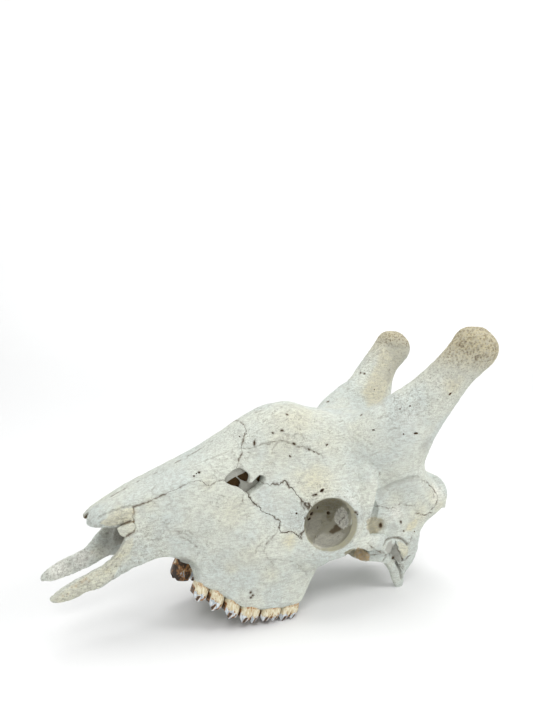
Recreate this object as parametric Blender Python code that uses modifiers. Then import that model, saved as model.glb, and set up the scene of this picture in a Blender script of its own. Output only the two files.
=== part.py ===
"""Giraffe skull without its lower jaw, life size, resting on its cheek teeth and the processes at its ears.

The skull's own frame is in millimetres: X runs from the tips of the premaxillae back to the nape,
Y towards the animal's right, Z up from the grinding faces of the cheek teeth. Every mass is shaped there.
The bones are then parted along their sutures, and an empty pitches them and sets them on the floor.
"""
import math
import random

import bmesh
import bpy
import numpy as np
from mathutils import Matrix, Vector

UNIT = 0.00096         # metres to one millimetre of the skull's own frame, which sets its life size
VOXEL = 3.4            # size of the grid on which the masses are fused
TRIANGLES = 6800       # of the skull before its teeth are added and its bones are parted
SUTURE = 0.4           # gap between neighbouring bones
SEED = 7
SIDES = {"left": -1, "right": 1}

# Roof, wall and tooth row from the notch of the nose to the back of the cheek teeth:
# x, roof height, shoulder half width and height, wall half width and height,
# gum half width and height, gum thickness, palate height
FACE = (
    (97, 168, 35, 152, 36, 115, 33, 58, 8, 66),
    (130, 188, 39, 169, 40, 120, 35, 71, 10, 79),
    (165, 208, 42, 184, 43, 125, 37, 78, 12, 86),
    (186, 221, 43, 193, 46, 125, 41, 79, 15, 87),
    (195, 226, 43, 196, 48.5, 125, 43.5, 76, 18, 84),
    (201, 230, 43.5, 197, 50, 124, 45, 68, 20, 76),
    (206, 234, 44, 198, 51.5, 122, 47, 43, 22, 68),
    (210, 237, 44.5, 198, 53, 122, 48, 40, 22, 65),
    (240, 260, 47, 204, 62, 118, 58, 29, 27, 52),
    (280, 291, 52, 214, 73, 112, 69, 10, 30, 46),
    (320, 308, 60, 222, 79, 112, 73, 6, 31, 44),
    (355, 308, 64, 236, 80, 120, 71, 6, 31, 46),
    (376, 304, 62, 241, 78, 124, 69, 9, 30, 48),
    (391, 300, 60, 244, 73, 129, 64, 37, 25, 58),
    (405, 296, 57, 242, 65, 135, 57, 58, 18, 70),
    (424, 292, 54, 240, 54, 140, 46, 80, 12, 86),
)
# Nasal bones where they overhang the nose: x, roof height, side half width, height of the side's lower edge
NASAL = (
    (40, 130, 14, 117),
    (50, 138, 21, 115),
    (70, 151.5, 27, 117),
    (97, 170, 34, 121),
    (125, 187, 37, 124),
)
# Nasal cavity: x, half width, floor and roof heights
CAVITY = (
    (28, 12, 60, 124),
    (45, 13, 62, 132),
    (62, 19, 64, 143),
    (80, 23, 66, 154),
    (104, 26, 76, 166),
    (135, 31, 88, 184),
    (170, 35, 95, 204),
    (206, 38, 92, 226),
    (240, 42, 88, 246),
    (275, 40, 96, 262),
    (305, 28, 120, 252),
)
INCISIVE_GAP = {"x": (66, 132), "half_width": 21, "z": (40, 96)}
# Premaxilla, a tall thin blade that runs down into a flat pointed tip: x, y, z, half width, half height
PREMAXILLA_LEAN = 0.25   # how far its upper edge leans away from the midline
PREMAXILLA = (
    (0, 28, 20, 3, 3),
    (12, 30, 25, 7, 9),
    (28, 30, 32, 8, 14.5),
    (43, 30, 40, 7.5, 15),
    (58, 30.5, 48.5, 6.5, 15),
    (71, 31, 58, 5.5, 15.5),
    (82, 32.5, 69, 5, 19),
    (93, 33.5, 80, 5, 25),
    (108, 34, 91, 4.8, 31),
    (128, 35, 100, 4.5, 31),
)
PREMAXILLA_ROOT = 100   # where the two prongs stop differing
# How far each one's tip is set back and up
PREMAXILLA_TIP = {"left": (0, -0.5), "right": (-5, 2.5)}

# Frontal dome, roof and braincase: x, roof height, brow half width and height,
# wall half width and height, base half width and height
CRANIUM = (
    (300, 296, 40, 262, 46, 220, 40, 170),
    (340, 311, 52, 262, 62, 215, 50, 150),
    (380, 304, 60, 256, 74, 210, 50, 130),
    (420, 302, 66, 258, 76, 215, 48, 105),
    (460, 307, 73, 264, 72, 215, 46, 84),
    (500, 302, 78, 264, 64, 190, 50, 78),
    (540, 272, 76, 248, 62, 165, 52, 76),
    (575, 240, 66, 218, 62, 160, 52, 80),
    (600, 216, 58, 205, 60, 160, 50, 92),
)
# Nape behind the braincase: x, half width, top and bottom heights
NAPE = (
    (575, 58, 222, 96),
    (600, 61, 214, 103),
    (622, 60, 208, 123),
    (642, 55, 204, 138),
    (655, 42, 196, 156),
    (660, 30, 188, 166),
)
# Eye socket, given for the right side
ORBIT = Vector((391, 94, 145))
ORBIT_AXIS = Vector((-0.30, 0.95, 0.02)).normalized()
# Outer cone of the socket and its bowl: depth below the rim, radius along, radius up, shift back, shift up
ORBIT_CONE = (
    (66, 88, 92, -6, 14),
    (40, 72, 72, -4, 8),
    (20, 60, 58, -2, 3),
    (8, 53, 52, 0, 1),
    (1, 50, 49, 0, 0),
    (-1.5, 46.5, 46, 0, 0),
)
ORBIT_BOWL = (
    (-14, 46, 46, 0, 0),
    (0, 42, 42, 0, 0),
    (14, 43, 42, 0, 0),
    (30, 38, 39, 2, 0),
    (44, 28, 30, 5, 0),
    (54, 14, 16, 8, 0),
)
# Cheek arch and the bar behind the eye: x, y, z, half width, half height
ARCH = (
    (322, 58, 98, 10, 16),
    (352, 74, 95, 9, 15),
    (392, 91, 98, 7, 10.5),
    (430, 96, 108, 7, 10),
    (460, 95, 115, 6.5, 14),
    (490, 87, 114, 8, 13),
    (514, 73, 108, 12, 11),
    (535, 56, 104, 14, 12),
)
# Plate of the cheek between the arch and the back of the tooth row
CHEEK = (
    (328, 62, 86, 8, 18),
    (358, 72, 86, 8, 19),
    (384, 79, 88, 7, 16),
    (408, 88, 99, 5, 8),
)
POSTORBITAL = (
    (452, 62, 236, 14, 18),
    (458, 78, 206, 10, 17),
    (459, 87, 176, 7, 15),
    (458, 91, 148, 6, 13),
    (454, 94, 122, 7, 15),
    (444, 95, 106, 7, 14),
)
# Ossicones: x, y, z, half width, half length fore and aft
OSSICONE = (
    (484, 34, 205, 26, 66),
    (494, 45, 240, 40, 82),
    (508, 54, 272, 42, 78),
    (524, 62, 303, 38, 66),
    (543, 72, 335, 34, 52),
    (561, 84, 370, 31, 42),
    (578, 93, 402, 30, 36),
    (593, 98, 424, 33.5, 36.5),
    (602, 100.5, 440, 36.5, 38),
    (610, 102, 454, 32, 33),
    (615, 103, 464, 19, 20),
    (617, 103.3, 467, 6, 6),
)
OSSICONE_FOOT = 290    # height above which the two ossicones differ
OSSICONE_SHOULDER = 35 # height over which the difference in girth comes in
OSSICONE_BUILD = {"left": (1.0, 1.0), "right": (0.81, 0.88)}   # of height above the foot, and of girth
OSSICONE_LEAN = (0.34, 0.20)   # how a shorter one's top stays forward and inward
OSSICONE_BOW = {"left": 0, "right": 6}   # how far the shaft is set forward halfway up

BROAD_FILLET = 34      # radius in which the ossicones, brow, sockets and roof run into one another
FINE_FILLET = 6        # radius in which the thinner bars and processes do

# Base of the skull
CONDYLE = ((600, 27, 86), (17, 16, 25))
PAROCCIPITAL = (
    (572, 56, 116, 24, 12),
    (572, 53, 92, 27, 9),
    (571, 50, 64, 29, 6),
    (573, 46, 38, 18, 4.8),
    (581, 43.5, 21, 12, 4.2),
    (584, 43, 12, 9, 3.5),
)
PTERYGOID = (
    (388, 30, 60, 3.5, 16),
    (420, 27, 66, 3.5, 17),
    (455, 24, 72, 3.5, 15),
    (485, 21, 80, 4, 10),
)
BASE_BAR = (
    (395, 0, 92, 16, 12),
    (450, 0, 88, 17, 13),
    (520, 0, 82, 20, 14),
    (570, 0, 78, 22, 13),
    (602, 0, 76, 24, 12),
)
FORAMEN_MAGNUM = ((560, 0, 128, 15, 14), (600, 0, 118, 17, 16), (650, 0, 104, 20, 19))
CHOANA = ((340, 0, 66, 12, 8), (375, 0, 68, 17, 11), (400, 0, 64, 20, 12), (440, 0, 56, 19, 16))
# Upright front wall of the tooth row, cut from the inside out
TOOTH_GAP = ((189, 26, 53, 19, 22), (189, 80, 53, 19, 22))
EAR_OPENING = ((525, 82, 92, 5, 5), (530, 58, 94, 4, 4), (535, 44, 95, 3, 3))

# Hollows at the sides, given for the right one: centre, radii
TEMPLE = ((500, 104, 165), (27, 42, 50))
PASSAGE = ((455, 66, 150), (38, 11, 30))
# Lumps at the sides of the skull's base, given for the right one: centre, radii
EAR_BLOCK = ((554, 53, 100), (30, 17, 22))
BULLA = ((504, 31, 80), (17, 13, 12))
JAW_JOINT = ((505, 70, 96), (22, 20, 8))

# Cheek teeth: name, length, width, crown height, lobes
TEETH = (
    ("P2", 24, 20, 26, 1),
    ("P3", 24, 24, 29, 1),
    ("P4", 24, 27, 27, 1),
    ("M1", 33, 29, 24, 2),
    ("M2", 34, 31, 23.5, 2),
    ("M3", 33, 29, 24.5, 2),
)
TOOTH_ROW_START = 206.5
ROOT_DEPTH = 13
CROWN_WEAR = (0.96, 1.03)   # least and greatest height of a crown as a share of its kind's

# Outlines of the bones seen from the side, (x, z); each bone is everything inside its outline
NASAL_OUTLINE = (
    (10, 100), (84, 108), (104, 120), (100, 154), (129, 169), (160, 184), (190, 199), (209, 191), (226, 198),
    (240, 200), (246, 214), (250, 235), (255, 262), (262, 300), (262, 340), (10, 340),
)
PREMAXILLA_OUTLINE = (
    (-20, -20), (-20, 70), (50, 96), (84, 107), (104, 119), (112, 110), (118, 95), (136, 50), (136, -20),
)
MAXILLA_OUTLINE = (
    (90, -60), (80, 130), (108, 190), (180, 230), (235, 215), (250, 190), (260, 182), (274, 169), (293, 155),
    (313, 146), (310, 120), (302, 103), (297, 90), (310, 77), (332, 83), (357, 77), (383, 54), (394, 44),
    (402, -60),
)
LACRIMAL_OUTLINE = (
    (258, 190), (274, 169), (293, 155), (313, 146), (347, 128), (362, 146), (354, 176), (337, 185),
    (320, 199), (295, 198), (284, 203),
)
ZYGOMATIC_OUTLINE = (
    (313, 146), (310, 120), (302, 103), (297, 90), (310, 77), (332, 83), (357, 77), (383, 54), (394, 44),
    (440, 60), (480, 84), (480, 152), (436, 150), (391, 140), (347, 128),
)
FRONTAL_OUTLINE = (
    (180, 400), (180, 180), (312, 60), (384, 60), (392, 92), (430, 100), (470, 125), (484, 140), (482, 230),
    (464, 318), (464, 400),
)
OSSICONE_OUTLINE = ((440, 318), (590, 262), (720, 300), (720, 560), (440, 560))
OSSICONE_FALL = 0.28    # how much the foot of an ossicone drops for each step away from the midline
OCCIPITAL_OUTLINE = (
    (534, -40), (534, 84), (560, 106), (574, 128), (590, 160), (602, 196), (608, 240), (700, 300),
    (700, -40),
)
VACUITY_OUTLINE = (
    (231, 194), (240, 203), (251, 213), (262, 210), (267, 200), (278, 198), (290, 205), (288, 195),
    (272, 186), (260, 181), (245, 189),
)
OSSICONE_DEPTH = 2      # least distance of the bone from the midline
LACRIMAL_DEPTH = 40
ZYGOMATIC_DEPTH = 52
VACUITY_DEPTH = 22
HALF_SPAN = 170         # beyond the skull on either side

# Where the skull rests, in its own frame
MOLAR_CONTACT = (345, -16.8)
PROCESS_CONTACT = (584, 15.0)
FLOOR_SPAN = (200, 700)
FLOOR_DEPTH = 60

BONE_COLOUR = (0.78, 0.75, 0.67)
OSSICONE_COLOUR = (0.72, 0.64, 0.48)
NODE_COLOURS = {
    "premaxilla": (0.77, 0.73, 0.64),
    "nasal": (0.79, 0.76, 0.69),
    "maxilla": (0.77, 0.74, 0.68),
    "lacrimal": (0.79, 0.74, 0.63),
    "zygomatic": (0.76, 0.72, 0.63),
    "frontal": BONE_COLOUR,
    "ossicone": OSSICONE_COLOUR,
    "braincase": (0.75, 0.71, 0.62),
    "occipital": (0.74, 0.69, 0.58),
}


def reset_scene():
    """Removes whatever a new file holds."""
    for item in list(bpy.data.objects):
        bpy.data.objects.remove(item, do_unlink=True)


# Curves through named stations
def smooth_curve(stations):
    """A cubic without overshoot through the rows of a table whose first column is the position."""
    table = np.array(stations, float)
    at = table[:, 0]
    gaps = np.diff(at)[:, None]
    rises = np.diff(table[:, 1:], axis=0) / gaps
    slopes = np.zeros_like(table[:, 1:])
    slopes[0], slopes[-1] = rises[0], rises[-1]
    before, after = rises[:-1], rises[1:]
    weight_a = 2 * gaps[1:] + gaps[:-1]
    weight_b = gaps[1:] + 2 * gaps[:-1]
    with np.errstate(divide="ignore", invalid="ignore"):
        mean = (weight_a + weight_b) / (weight_a / before + weight_b / after)
    slopes[1:-1] = np.where(before * after > 0, mean, 0.0)

    def value(x):
        x = min(max(x, at[0]), at[-1])
        i = min(int(np.searchsorted(at, x, side="right")) - 1, len(at) - 2)
        h = at[i + 1] - at[i]
        t = (x - at[i]) / h
        start = (1 + 2 * t) * (1 - t) ** 2 * table[i, 1:] + t * (1 - t) ** 2 * h * slopes[i]
        end = t * t * (3 - 2 * t) * table[i + 1, 1:] + t * t * (t - 1) * h * slopes[i + 1]
        return start + end

    return value


def rounded(points, count):
    """count points along a smooth open curve through a few given ones."""
    points = np.array(points, float)
    steps = np.linalg.norm(np.diff(points, axis=0), axis=1)
    along = np.concatenate([[0.0], np.cumsum(np.sqrt(steps + 1e-9))])
    padded = np.vstack([2 * points[0] - points[1], points, 2 * points[-1] - points[-2]])
    out = []
    for s in np.linspace(0, along[-1], count):
        i = min(int(np.searchsorted(along, s, side="right")) - 1, len(points) - 2)
        t = (s - along[i]) / (along[i + 1] - along[i])
        a, b, c, d = padded[i : i + 4]
        bend = (2 * a - 5 * b + 4 * c - d) * t * t + (3 * b - a - 3 * c + d) * t**3
        out.append(0.5 * (2 * b + (c - a) * t + bend))
    return np.array(out)


def stations_between(table, step):
    """Evenly spaced positions over a table's whole length."""
    first, last = table[0][0], table[-1][0]
    return np.linspace(first, last, max(2, round((last - first) / step) + 1))


def closed_half(x, half):
    """A ring at x from half a section that starts and ends on the midline."""
    other = half[-2:0:-1] * np.array([-1, 1])
    return [(x, y, z) for y, z in np.vstack([half, other])]


# Closed bodies
def link(name, mesh):
    item = bpy.data.objects.new(name, mesh)
    bpy.context.scene.collection.objects.link(item)
    return item


def from_bmesh(name, bm):
    mesh = bpy.data.meshes.new(name)
    bm.to_mesh(mesh)
    bm.free()
    return link(name, mesh)


def loft(name, rings):
    """A closed skin over rings of equal point counts."""
    bm = bmesh.new()
    count = len(rings[0])
    rows = [[bm.verts.new(point) for point in ring] for ring in rings]
    for low, high in zip(rows, rows[1:]):
        for i in range(count):
            j = (i + 1) % count
            bm.faces.new((low[i], low[j], high[j], high[i]))
    bm.faces.new(list(reversed(rows[0])))
    bm.faces.new(rows[-1])
    bmesh.ops.recalc_face_normals(bm, faces=bm.faces)
    return from_bmesh(name, bm)


def ellipsoid(name, centre, radii, turn=(0, 0, 0)):
    """A ball stretched to three radii, turned by angles in degrees about X, Y and Z."""
    bm = bmesh.new()
    bmesh.ops.create_uvsphere(bm, u_segments=28, v_segments=18, radius=1)
    spin = Matrix.Rotation(math.radians(turn[2]), 4, "Z")
    spin @= Matrix.Rotation(math.radians(turn[1]), 4, "Y")
    spin @= Matrix.Rotation(math.radians(turn[0]), 4, "X")
    place = Matrix.Translation(centre) @ spin @ Matrix.Diagonal((*radii, 1))
    bmesh.ops.transform(bm, matrix=place, verts=bm.verts)
    return from_bmesh(name, bm)


def side_lump(name, shape, side, turn=(0, 0, 0)):
    """An ellipsoid given for the right side, on either side."""
    (x, y, z), radii = shape
    return ellipsoid(name, (x, side * y, z), radii, (side * turn[0], turn[1], side * turn[2]))


def bar(name, stations, side=1, up=(0, 0, 1), sides=20, steps=7):
    """A bent bar through (x, y, z, half width, half height), its height along up."""
    table = np.array(stations, float)
    table[:, 1] *= side
    path = rounded(table, steps * (len(table) - 1) + 1)
    rings = []
    for i, row in enumerate(path):
        ahead = Vector(path[min(i + 1, len(path) - 1)][:3] - path[max(i - 1, 0)][:3]).normalized()
        across = ahead.cross(Vector(up)).normalized()
        lift = across.cross(ahead).normalized()
        centre = Vector(row[:3])
        wide, tall = across * row[3], lift * row[4]
        turns = [2 * math.pi * k / sides for k in range(sides)]
        rings.append([centre + wide * math.cos(a) + tall * math.sin(a) for a in turns])
    return loft(name, rings)


def slab(name, outline, low_y, high_y, fall=0.0):
    """What a side view's outline holds between two distances across, dropping away from the midline."""
    return loft(name, [[(x, y, z - fall * abs(y)) for x, z in outline] for y in (low_y, high_y)])


def block(name, low, high):
    bm = bmesh.new()
    bmesh.ops.create_cube(bm, size=1)
    size = Vector(high) - Vector(low)
    place = Matrix.Translation((Vector(low) + Vector(high)) / 2) @ Matrix.Diagonal((*size, 1))
    bmesh.ops.transform(bm, matrix=place, verts=bm.verts)
    return from_bmesh(name, bm)


def join(name, items):
    """One object that holds the bodies of several."""
    bm = bmesh.new()
    for item in items:
        bm.from_mesh(item.data)
        bpy.data.objects.remove(item, do_unlink=True)
    return from_bmesh(name, bm)


def baked(item):
    """Applies an object's modifiers to its mesh."""
    graph = bpy.context.evaluated_depsgraph_get()
    mesh = bpy.data.meshes.new_from_object(item.evaluated_get(graph))
    item.modifiers.clear()
    item.data = mesh
    return item


def fused(item, voxel):
    """The outer skin of overlapping bodies, on an even grid."""
    remesh = item.modifiers.new("fuse", "REMESH")
    remesh.mode = "VOXEL"
    remesh.voxel_size = voxel
    return baked(item)


def softened(item, factor, repeat):
    """Evens out the small steps of a skin."""
    smooth = item.modifiers.new("soften", "SMOOTH")
    smooth.factor = factor
    smooth.iterations = repeat
    return baked(item)


def filleted(item, radius, voxel):
    """Fills every crease tighter than a radius, by growing the skin and shrinking it again."""
    for reach in (radius, -radius):
        offset = item.modifiers.new("offset", "DISPLACE")
        offset.strength = reach
        offset.mid_level = 0.0
        item = softened(fused(item, voxel), 0.5, 2)
    return item


def thinned(item, triangles):
    """The same shape in fewer faces."""
    item.data.calc_loop_triangles()
    thin = item.modifiers.new("thin", "DECIMATE")
    thin.ratio = triangles / len(item.data.loop_triangles)
    thin.use_collapse_triangulate = True
    return baked(item)


def combined(item, other, operation):
    """item cut by or kept inside another closed body, which is used up."""
    blend = item.modifiers.new("combine", "BOOLEAN")
    blend.operation = operation
    blend.solver = "MANIFOLD"
    blend.object = other
    baked(item)
    bpy.data.objects.remove(other, do_unlink=True)
    return item


def largest_body(item):
    """Keeps only the largest connected body of an object."""
    bm = bmesh.new()
    bm.from_mesh(item.data)
    bodies = connected_bodies(bm)
    keep = max(bodies, key=len)
    waste = [vert for body in bodies if body is not keep for vert in body]
    bmesh.ops.delete(bm, geom=waste, context="VERTS")
    bm.to_mesh(item.data)
    bm.free()
    return item


def connected_bodies(bm):
    """Lists of the vertices that edges connect."""
    bodies = []
    seen = set()
    for start in bm.verts:
        if start in seen:
            continue
        seen.add(start)
        body, ahead = [], [start]
        while ahead:
            vert = ahead.pop()
            body.append(vert)
            for edge in vert.link_edges:
                near = edge.other_vert(vert)
                if near not in seen:
                    seen.add(near)
                    ahead.append(near)
        bodies.append(body)
    return bodies


# Masses of bone
def face_mass():
    sizes = smooth_curve(FACE)
    rings = []
    for x in stations_between(FACE, 6):
        roof, shoulder_y, shoulder_z, wall_y, wall_z, gum_y, gum_z, gum_thick, palate = sizes(x)
        drop = roof - shoulder_z
        inner_y = gum_y - gum_thick
        outside = rounded(
            [
                (0, roof),
                (0.52 * shoulder_y, roof - 0.10 * drop),
                (0.88 * shoulder_y, roof - 0.48 * drop),
                (shoulder_y + 1, shoulder_z),
                (0.5 * (shoulder_y + wall_y) + 1.5, 0.5 * (shoulder_z + wall_z)),
                (wall_y, wall_z),
                (gum_y + 1, 0.45 * gum_z + 0.40 * wall_z),
                (gum_y, gum_z),
            ],
            22,
        )
        under = rounded(
            [
                (gum_y - 0.5 * gum_thick, gum_z - 2),
                (inner_y, gum_z + 2),
                (inner_y - 4, 0.35 * gum_z + 0.65 * palate),
                (0.45 * inner_y, palate),
                (0, palate),
            ],
            10,
        )
        rings.append(closed_half(x, np.vstack([outside, under])))
    return loft("face", rings)


def nasal_mass():
    sizes = smooth_curve(NASAL)
    rings = []
    for x in stations_between(NASAL, 6):
        roof, half, low = sizes(x)
        shoulder = 0.72 * roof + 0.28 * low
        arch = [(0, roof), (0.6 * half, roof - 4), (half, shoulder), (half - 1, low), (0, low)]
        rings.append(closed_half(x, rounded(arch, 14)))
    return loft("nasals", rings)


def cranium_mass():
    sizes = smooth_curve(CRANIUM)
    rings = []
    for x in stations_between(CRANIUM, 6):
        roof, brow_y, brow_z, wall_y, wall_z, base_y, base_z = sizes(x)
        half = rounded(
            [
                (0, roof),
                (0.55 * brow_y, roof - 0.12 * (roof - brow_z)),
                (brow_y, brow_z),
                (wall_y, wall_z),
                (0.5 * (wall_y + base_y) + 3, 0.45 * wall_z + 0.55 * base_z),
                (base_y - 8, base_z),
                (0, base_z - 2),
            ],
            26,
        )
        rings.append(closed_half(x, half))
    return loft("cranium", rings)


def nape_mass():
    sizes = smooth_curve(NAPE)
    rings = []
    for x in stations_between(NAPE, 6):
        half, top, low = sizes(x)
        section = [
            (0, top),
            (0.6 * half, top - 2),
            (half, 0.62 * top + 0.38 * low),
            (0.9 * half, 0.25 * top + 0.75 * low),
            (0.4 * half, low),
            (0, low),
        ]
        rings.append(closed_half(x, rounded(section, 18)))
    return loft("nape", rings)


def socket_part(name, rows, side, sides=36):
    """Rings round the axis of an eye socket."""
    axis = Vector((ORBIT_AXIS.x, side * ORBIT_AXIS.y, ORBIT_AXIS.z))
    up = Vector((0, 0, 1))
    up = (up - axis * up.dot(axis)).normalized()
    along = up.cross(axis).normalized()
    centre = Vector((ORBIT.x, side * ORBIT.y, ORBIT.z))
    rings = []
    for depth, reach, rise, back, lift in rows:
        middle = centre - axis * depth + Vector((back, 0, lift))
        turns = [2 * math.pi * k / sides for k in range(sides)]
        rings.append([middle + along * (reach * math.cos(a)) + up * (rise * math.sin(a)) for a in turns])
    return loft(name, rings)


def ossicone_mass(name, side):
    height, girth = OSSICONE_BUILD[name]
    stations = []
    tall = OSSICONE[-1][2] - OSSICONE_FOOT
    for x, y, z, width, length in OSSICONE:
        above = max(0.0, z - OSSICONE_FOOT)
        scale = 1 + (girth - 1) * min(1.0, above / OSSICONE_SHOULDER)
        change = (height - 1) * above
        back, outward = (change * share for share in OSSICONE_LEAN)
        back -= OSSICONE_BOW[name] * math.sin(math.pi * above / tall)
        stations.append((x + back, y + outward, z + change, width * scale, length * scale))
    return bar("ossicone", stations, side, up=(1, 0, 0), sides=28)


def premaxilla_mass(name, side):
    back, rise = PREMAXILLA_TIP[name]
    stations = []
    for x, y, z, width, height in PREMAXILLA:
        share = max(0.0, 1 - x / PREMAXILLA_ROOT)
        stations.append((x + back * share, y, z + rise * share, width, height))
    return bar("premaxilla", stations, side, up=(0, side * PREMAXILLA_LEAN, 1), sides=16)


def side_masses(name, side):
    """The thinner masses that come in pairs."""
    return [
        premaxilla_mass(name, side),
        bar("arch", ARCH, side),
        bar("cheek", CHEEK, side),
        bar("postorbital", POSTORBITAL, side, up=(1, 0, 0)),
        side_lump("condyle", CONDYLE, side, (20, -15, 0)),
        side_lump("ear_block", EAR_BLOCK, side),
        side_lump("bulla", BULLA, side, (0, 12, 0)),
        side_lump("jaw_joint", JAW_JOINT, side),
        bar("paroccipital", PAROCCIPITAL, side, up=(0, 1, 0)),
        bar("pterygoid", PTERYGOID, side),
    ]


# Openings
def nasal_cavity():
    sizes = smooth_curve(CAVITY)
    rings = []
    for x in stations_between(CAVITY, 8):
        half, low, high = sizes(x)
        tall = high - low
        section = [
            (0, high),
            (0.7 * half, high - 0.10 * tall),
            (half, high - 0.35 * tall),
            (half, low + 0.25 * tall),
            (0.7 * half, low),
            (0, low),
        ]
        rings.append(closed_half(x, rounded(section, 16)))
    return loft("nasal_cavity", rings)


def openings():
    gap = INCISIVE_GAP
    half = gap["half_width"]
    cutters = [
        nasal_cavity(),
        block("incisive_gap", (gap["x"][0], -half, gap["z"][0]), (gap["x"][1], half, gap["z"][1])),
        bar("foramen_magnum", FORAMEN_MAGNUM),
        bar("choana", CHOANA),
    ]
    for side in SIDES.values():
        cutters += [
            socket_part("orbit", ORBIT_BOWL, side),
            side_lump("temple", TEMPLE, side, (0, 0, 8)),
            side_lump("passage", PASSAGE, side, (0, 0, -6)),
            bar("tooth_gap", TOOTH_GAP, side),
            slab("vacuity", VACUITY_OUTLINE, *sorted((side * VACUITY_DEPTH, side * HALF_SPAN))),
            bar("ear_opening", EAR_OPENING, side, sides=12),
        ]
    return cutters


# Cheek teeth
def tooth_lobe(centre, length, width, height, side, sides=12):
    """A crown of one lobe with a high outer cusp, a lower inner one and a pit between, and a sunk root."""
    rings = []
    for lift, spread in ((ROOT_DEPTH, 0.60), (1.0, 0.84), (-0.35 * height, 1.0), (-0.62 * height, 0.97)):
        rings.append([(spread, lift)] * sides)
    edge = []
    for k in range(sides):
        turn = 2 * math.pi * k / sides
        outer, inner = max(0, math.cos(turn)), max(0, -math.cos(turn))
        edge.append((0.70, -height * (0.66 + 0.34 * outer**3 + 0.22 * inner**3)))
    rings.append(edge)
    bm = bmesh.new()
    rows = []
    for ring in rings:
        row = []
        for k, (spread, lift) in enumerate(ring):
            turn = 2 * math.pi * k / sides
            across, along = math.cos(turn), math.sin(turn)
            square = (abs(across) ** 3 + abs(along) ** 3) ** (-1 / 3)
            rib = 1 + 0.07 * math.cos(4 * turn)
            y = centre[1] + side * across * square * rib * spread * width / 2
            row.append(bm.verts.new((centre[0] + along * square * spread * length / 2, y, centre[2] + lift)))
        rows.append(row)
    for low, high in zip(rows, rows[1:]):
        for k in range(sides):
            j = (k + 1) % sides
            bm.faces.new((low[k], low[j], high[j], high[k]))
    bm.faces.new(list(reversed(rows[0])))
    pit = bm.verts.new((centre[0], centre[1], centre[2] - 0.52 * height))
    for k in range(sides):
        bm.faces.new((rows[-1][k], rows[-1][(k + 1) % sides], pit))
    bmesh.ops.recalc_face_normals(bm, faces=bm.faces)
    return from_bmesh("lobe", bm)


def tooth_row(side, draw):
    """Six cheek teeth along the gum, the molars with two lobes each."""
    sizes = smooth_curve(FACE)
    lobes = []
    x = TOOTH_ROW_START
    for _, length, width, height, count in TEETH:
        for part in range(count):
            share = length / count
            at = x + (part + 0.5) * share
            *_, gum_y, gum_z, gum_thick, _ = sizes(at)
            y = side * (gum_y - gum_thick / 2)
            crown = height * draw.uniform(*CROWN_WEAR)
            lobes.append(tooth_lobe((at, y, gum_z + 1), share * 1.04, width, crown, side))
        x += length
    return lobes


# Whole skull and its floor contact
def whole_skull(voxel, triangles=None):
    """The skull in one piece, hollowed where its openings show."""
    core = [face_mass(), cranium_mass(), nape_mass()]
    for name, side in SIDES.items():
        core += [socket_part("socket", ORBIT_CONE, side), ossicone_mass(name, side)]
    core = filleted(softened(fused(join("core", core), voxel), 0.5, 3), BROAD_FILLET, voxel)
    masses = [core, nasal_mass(), bar("skull_base", BASE_BAR)]
    for name, side in SIDES.items():
        masses += side_masses(name, side)
    skull = filleted(softened(fused(join("skull", masses), voxel), 0.5, 2), FINE_FILLET, voxel)
    hollow = fused(join("hollow", openings()), voxel)
    skull = combined(skull, hollow, "DIFFERENCE")
    skull = softened(fused(largest_body(skull), voxel), 0.5, 1)
    if triangles:
        skull = thinned(skull, triangles)
    return largest_body(skull)


def add_teeth(skull):
    """Fuses both tooth rows to the jaws."""
    draw = random.Random(SEED)
    crowns = bpy.data.collections.new("tooth_crowns")
    for side in SIDES.values():
        for lobe in tooth_row(side, draw):
            bpy.context.scene.collection.objects.unlink(lobe)
            crowns.objects.link(lobe)
    union = skull.modifiers.new("teeth", "BOOLEAN")
    union.operation = "UNION"
    union.operand_type = "COLLECTION"
    union.solver = "EXACT"
    union.collection = crowns
    baked(skull)
    for lobe in list(crowns.objects):
        bpy.data.objects.remove(lobe, do_unlink=True)
    bpy.data.collections.remove(crowns)
    return largest_body(skull)


def resting_pitch():
    """Angle in the side view between the grinding faces and the line on which the skull rests."""
    return math.atan2(PROCESS_CONTACT[1] - MOLAR_CONTACT[1], PROCESS_CONTACT[0] - MOLAR_CONTACT[0])


def worn_flat(skull):
    """Takes off what would reach below the floor, which leaves small flats on the molars and processes."""
    slope = math.tan(resting_pitch())
    floor = [(x, MOLAR_CONTACT[1] + (x - MOLAR_CONTACT[0]) * slope) for x in FLOOR_SPAN]
    under = [(x, z - FLOOR_DEPTH) for x, z in reversed(floor)]
    return combined(skull, slab("floor", floor + under, -HALF_SPAN, HALF_SPAN), "DIFFERENCE")


# Bones
def grown(outline, distance):
    """An outline moved outwards by a distance."""
    points = [Vector(point) for point in outline]
    area = sum(a.x * b.y - b.x * a.y for a, b in zip(points, points[1:] + points[:1]))
    outward = 1 if area > 0 else -1
    moved = []
    for i, point in enumerate(points):
        into = (point - points[i - 1]).normalized()
        away = (points[(i + 1) % len(points)] - point).normalized()
        bisector = Vector((into.y + away.y, -into.x - away.x)) * outward
        reach = distance * 2 / max(bisector.length_squared, 0.8)
        moved.append(point + bisector * reach)
    return [tuple(point) for point in moved]


def taken(body, outline, low_y, high_y, fall=0.0):
    """Parts the bone inside an outline from a body, and leaves a suture's gap round it."""
    bone = link("bone", body.data.copy())
    combined(bone, slab("inside", outline, low_y, high_y, fall), "INTERSECT")
    beyond = slab("suture", grown(outline, SUTURE), low_y - SUTURE, high_y + SUTURE, fall)
    combined(body, beyond, "DIFFERENCE")
    return largest_body(bone)


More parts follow.
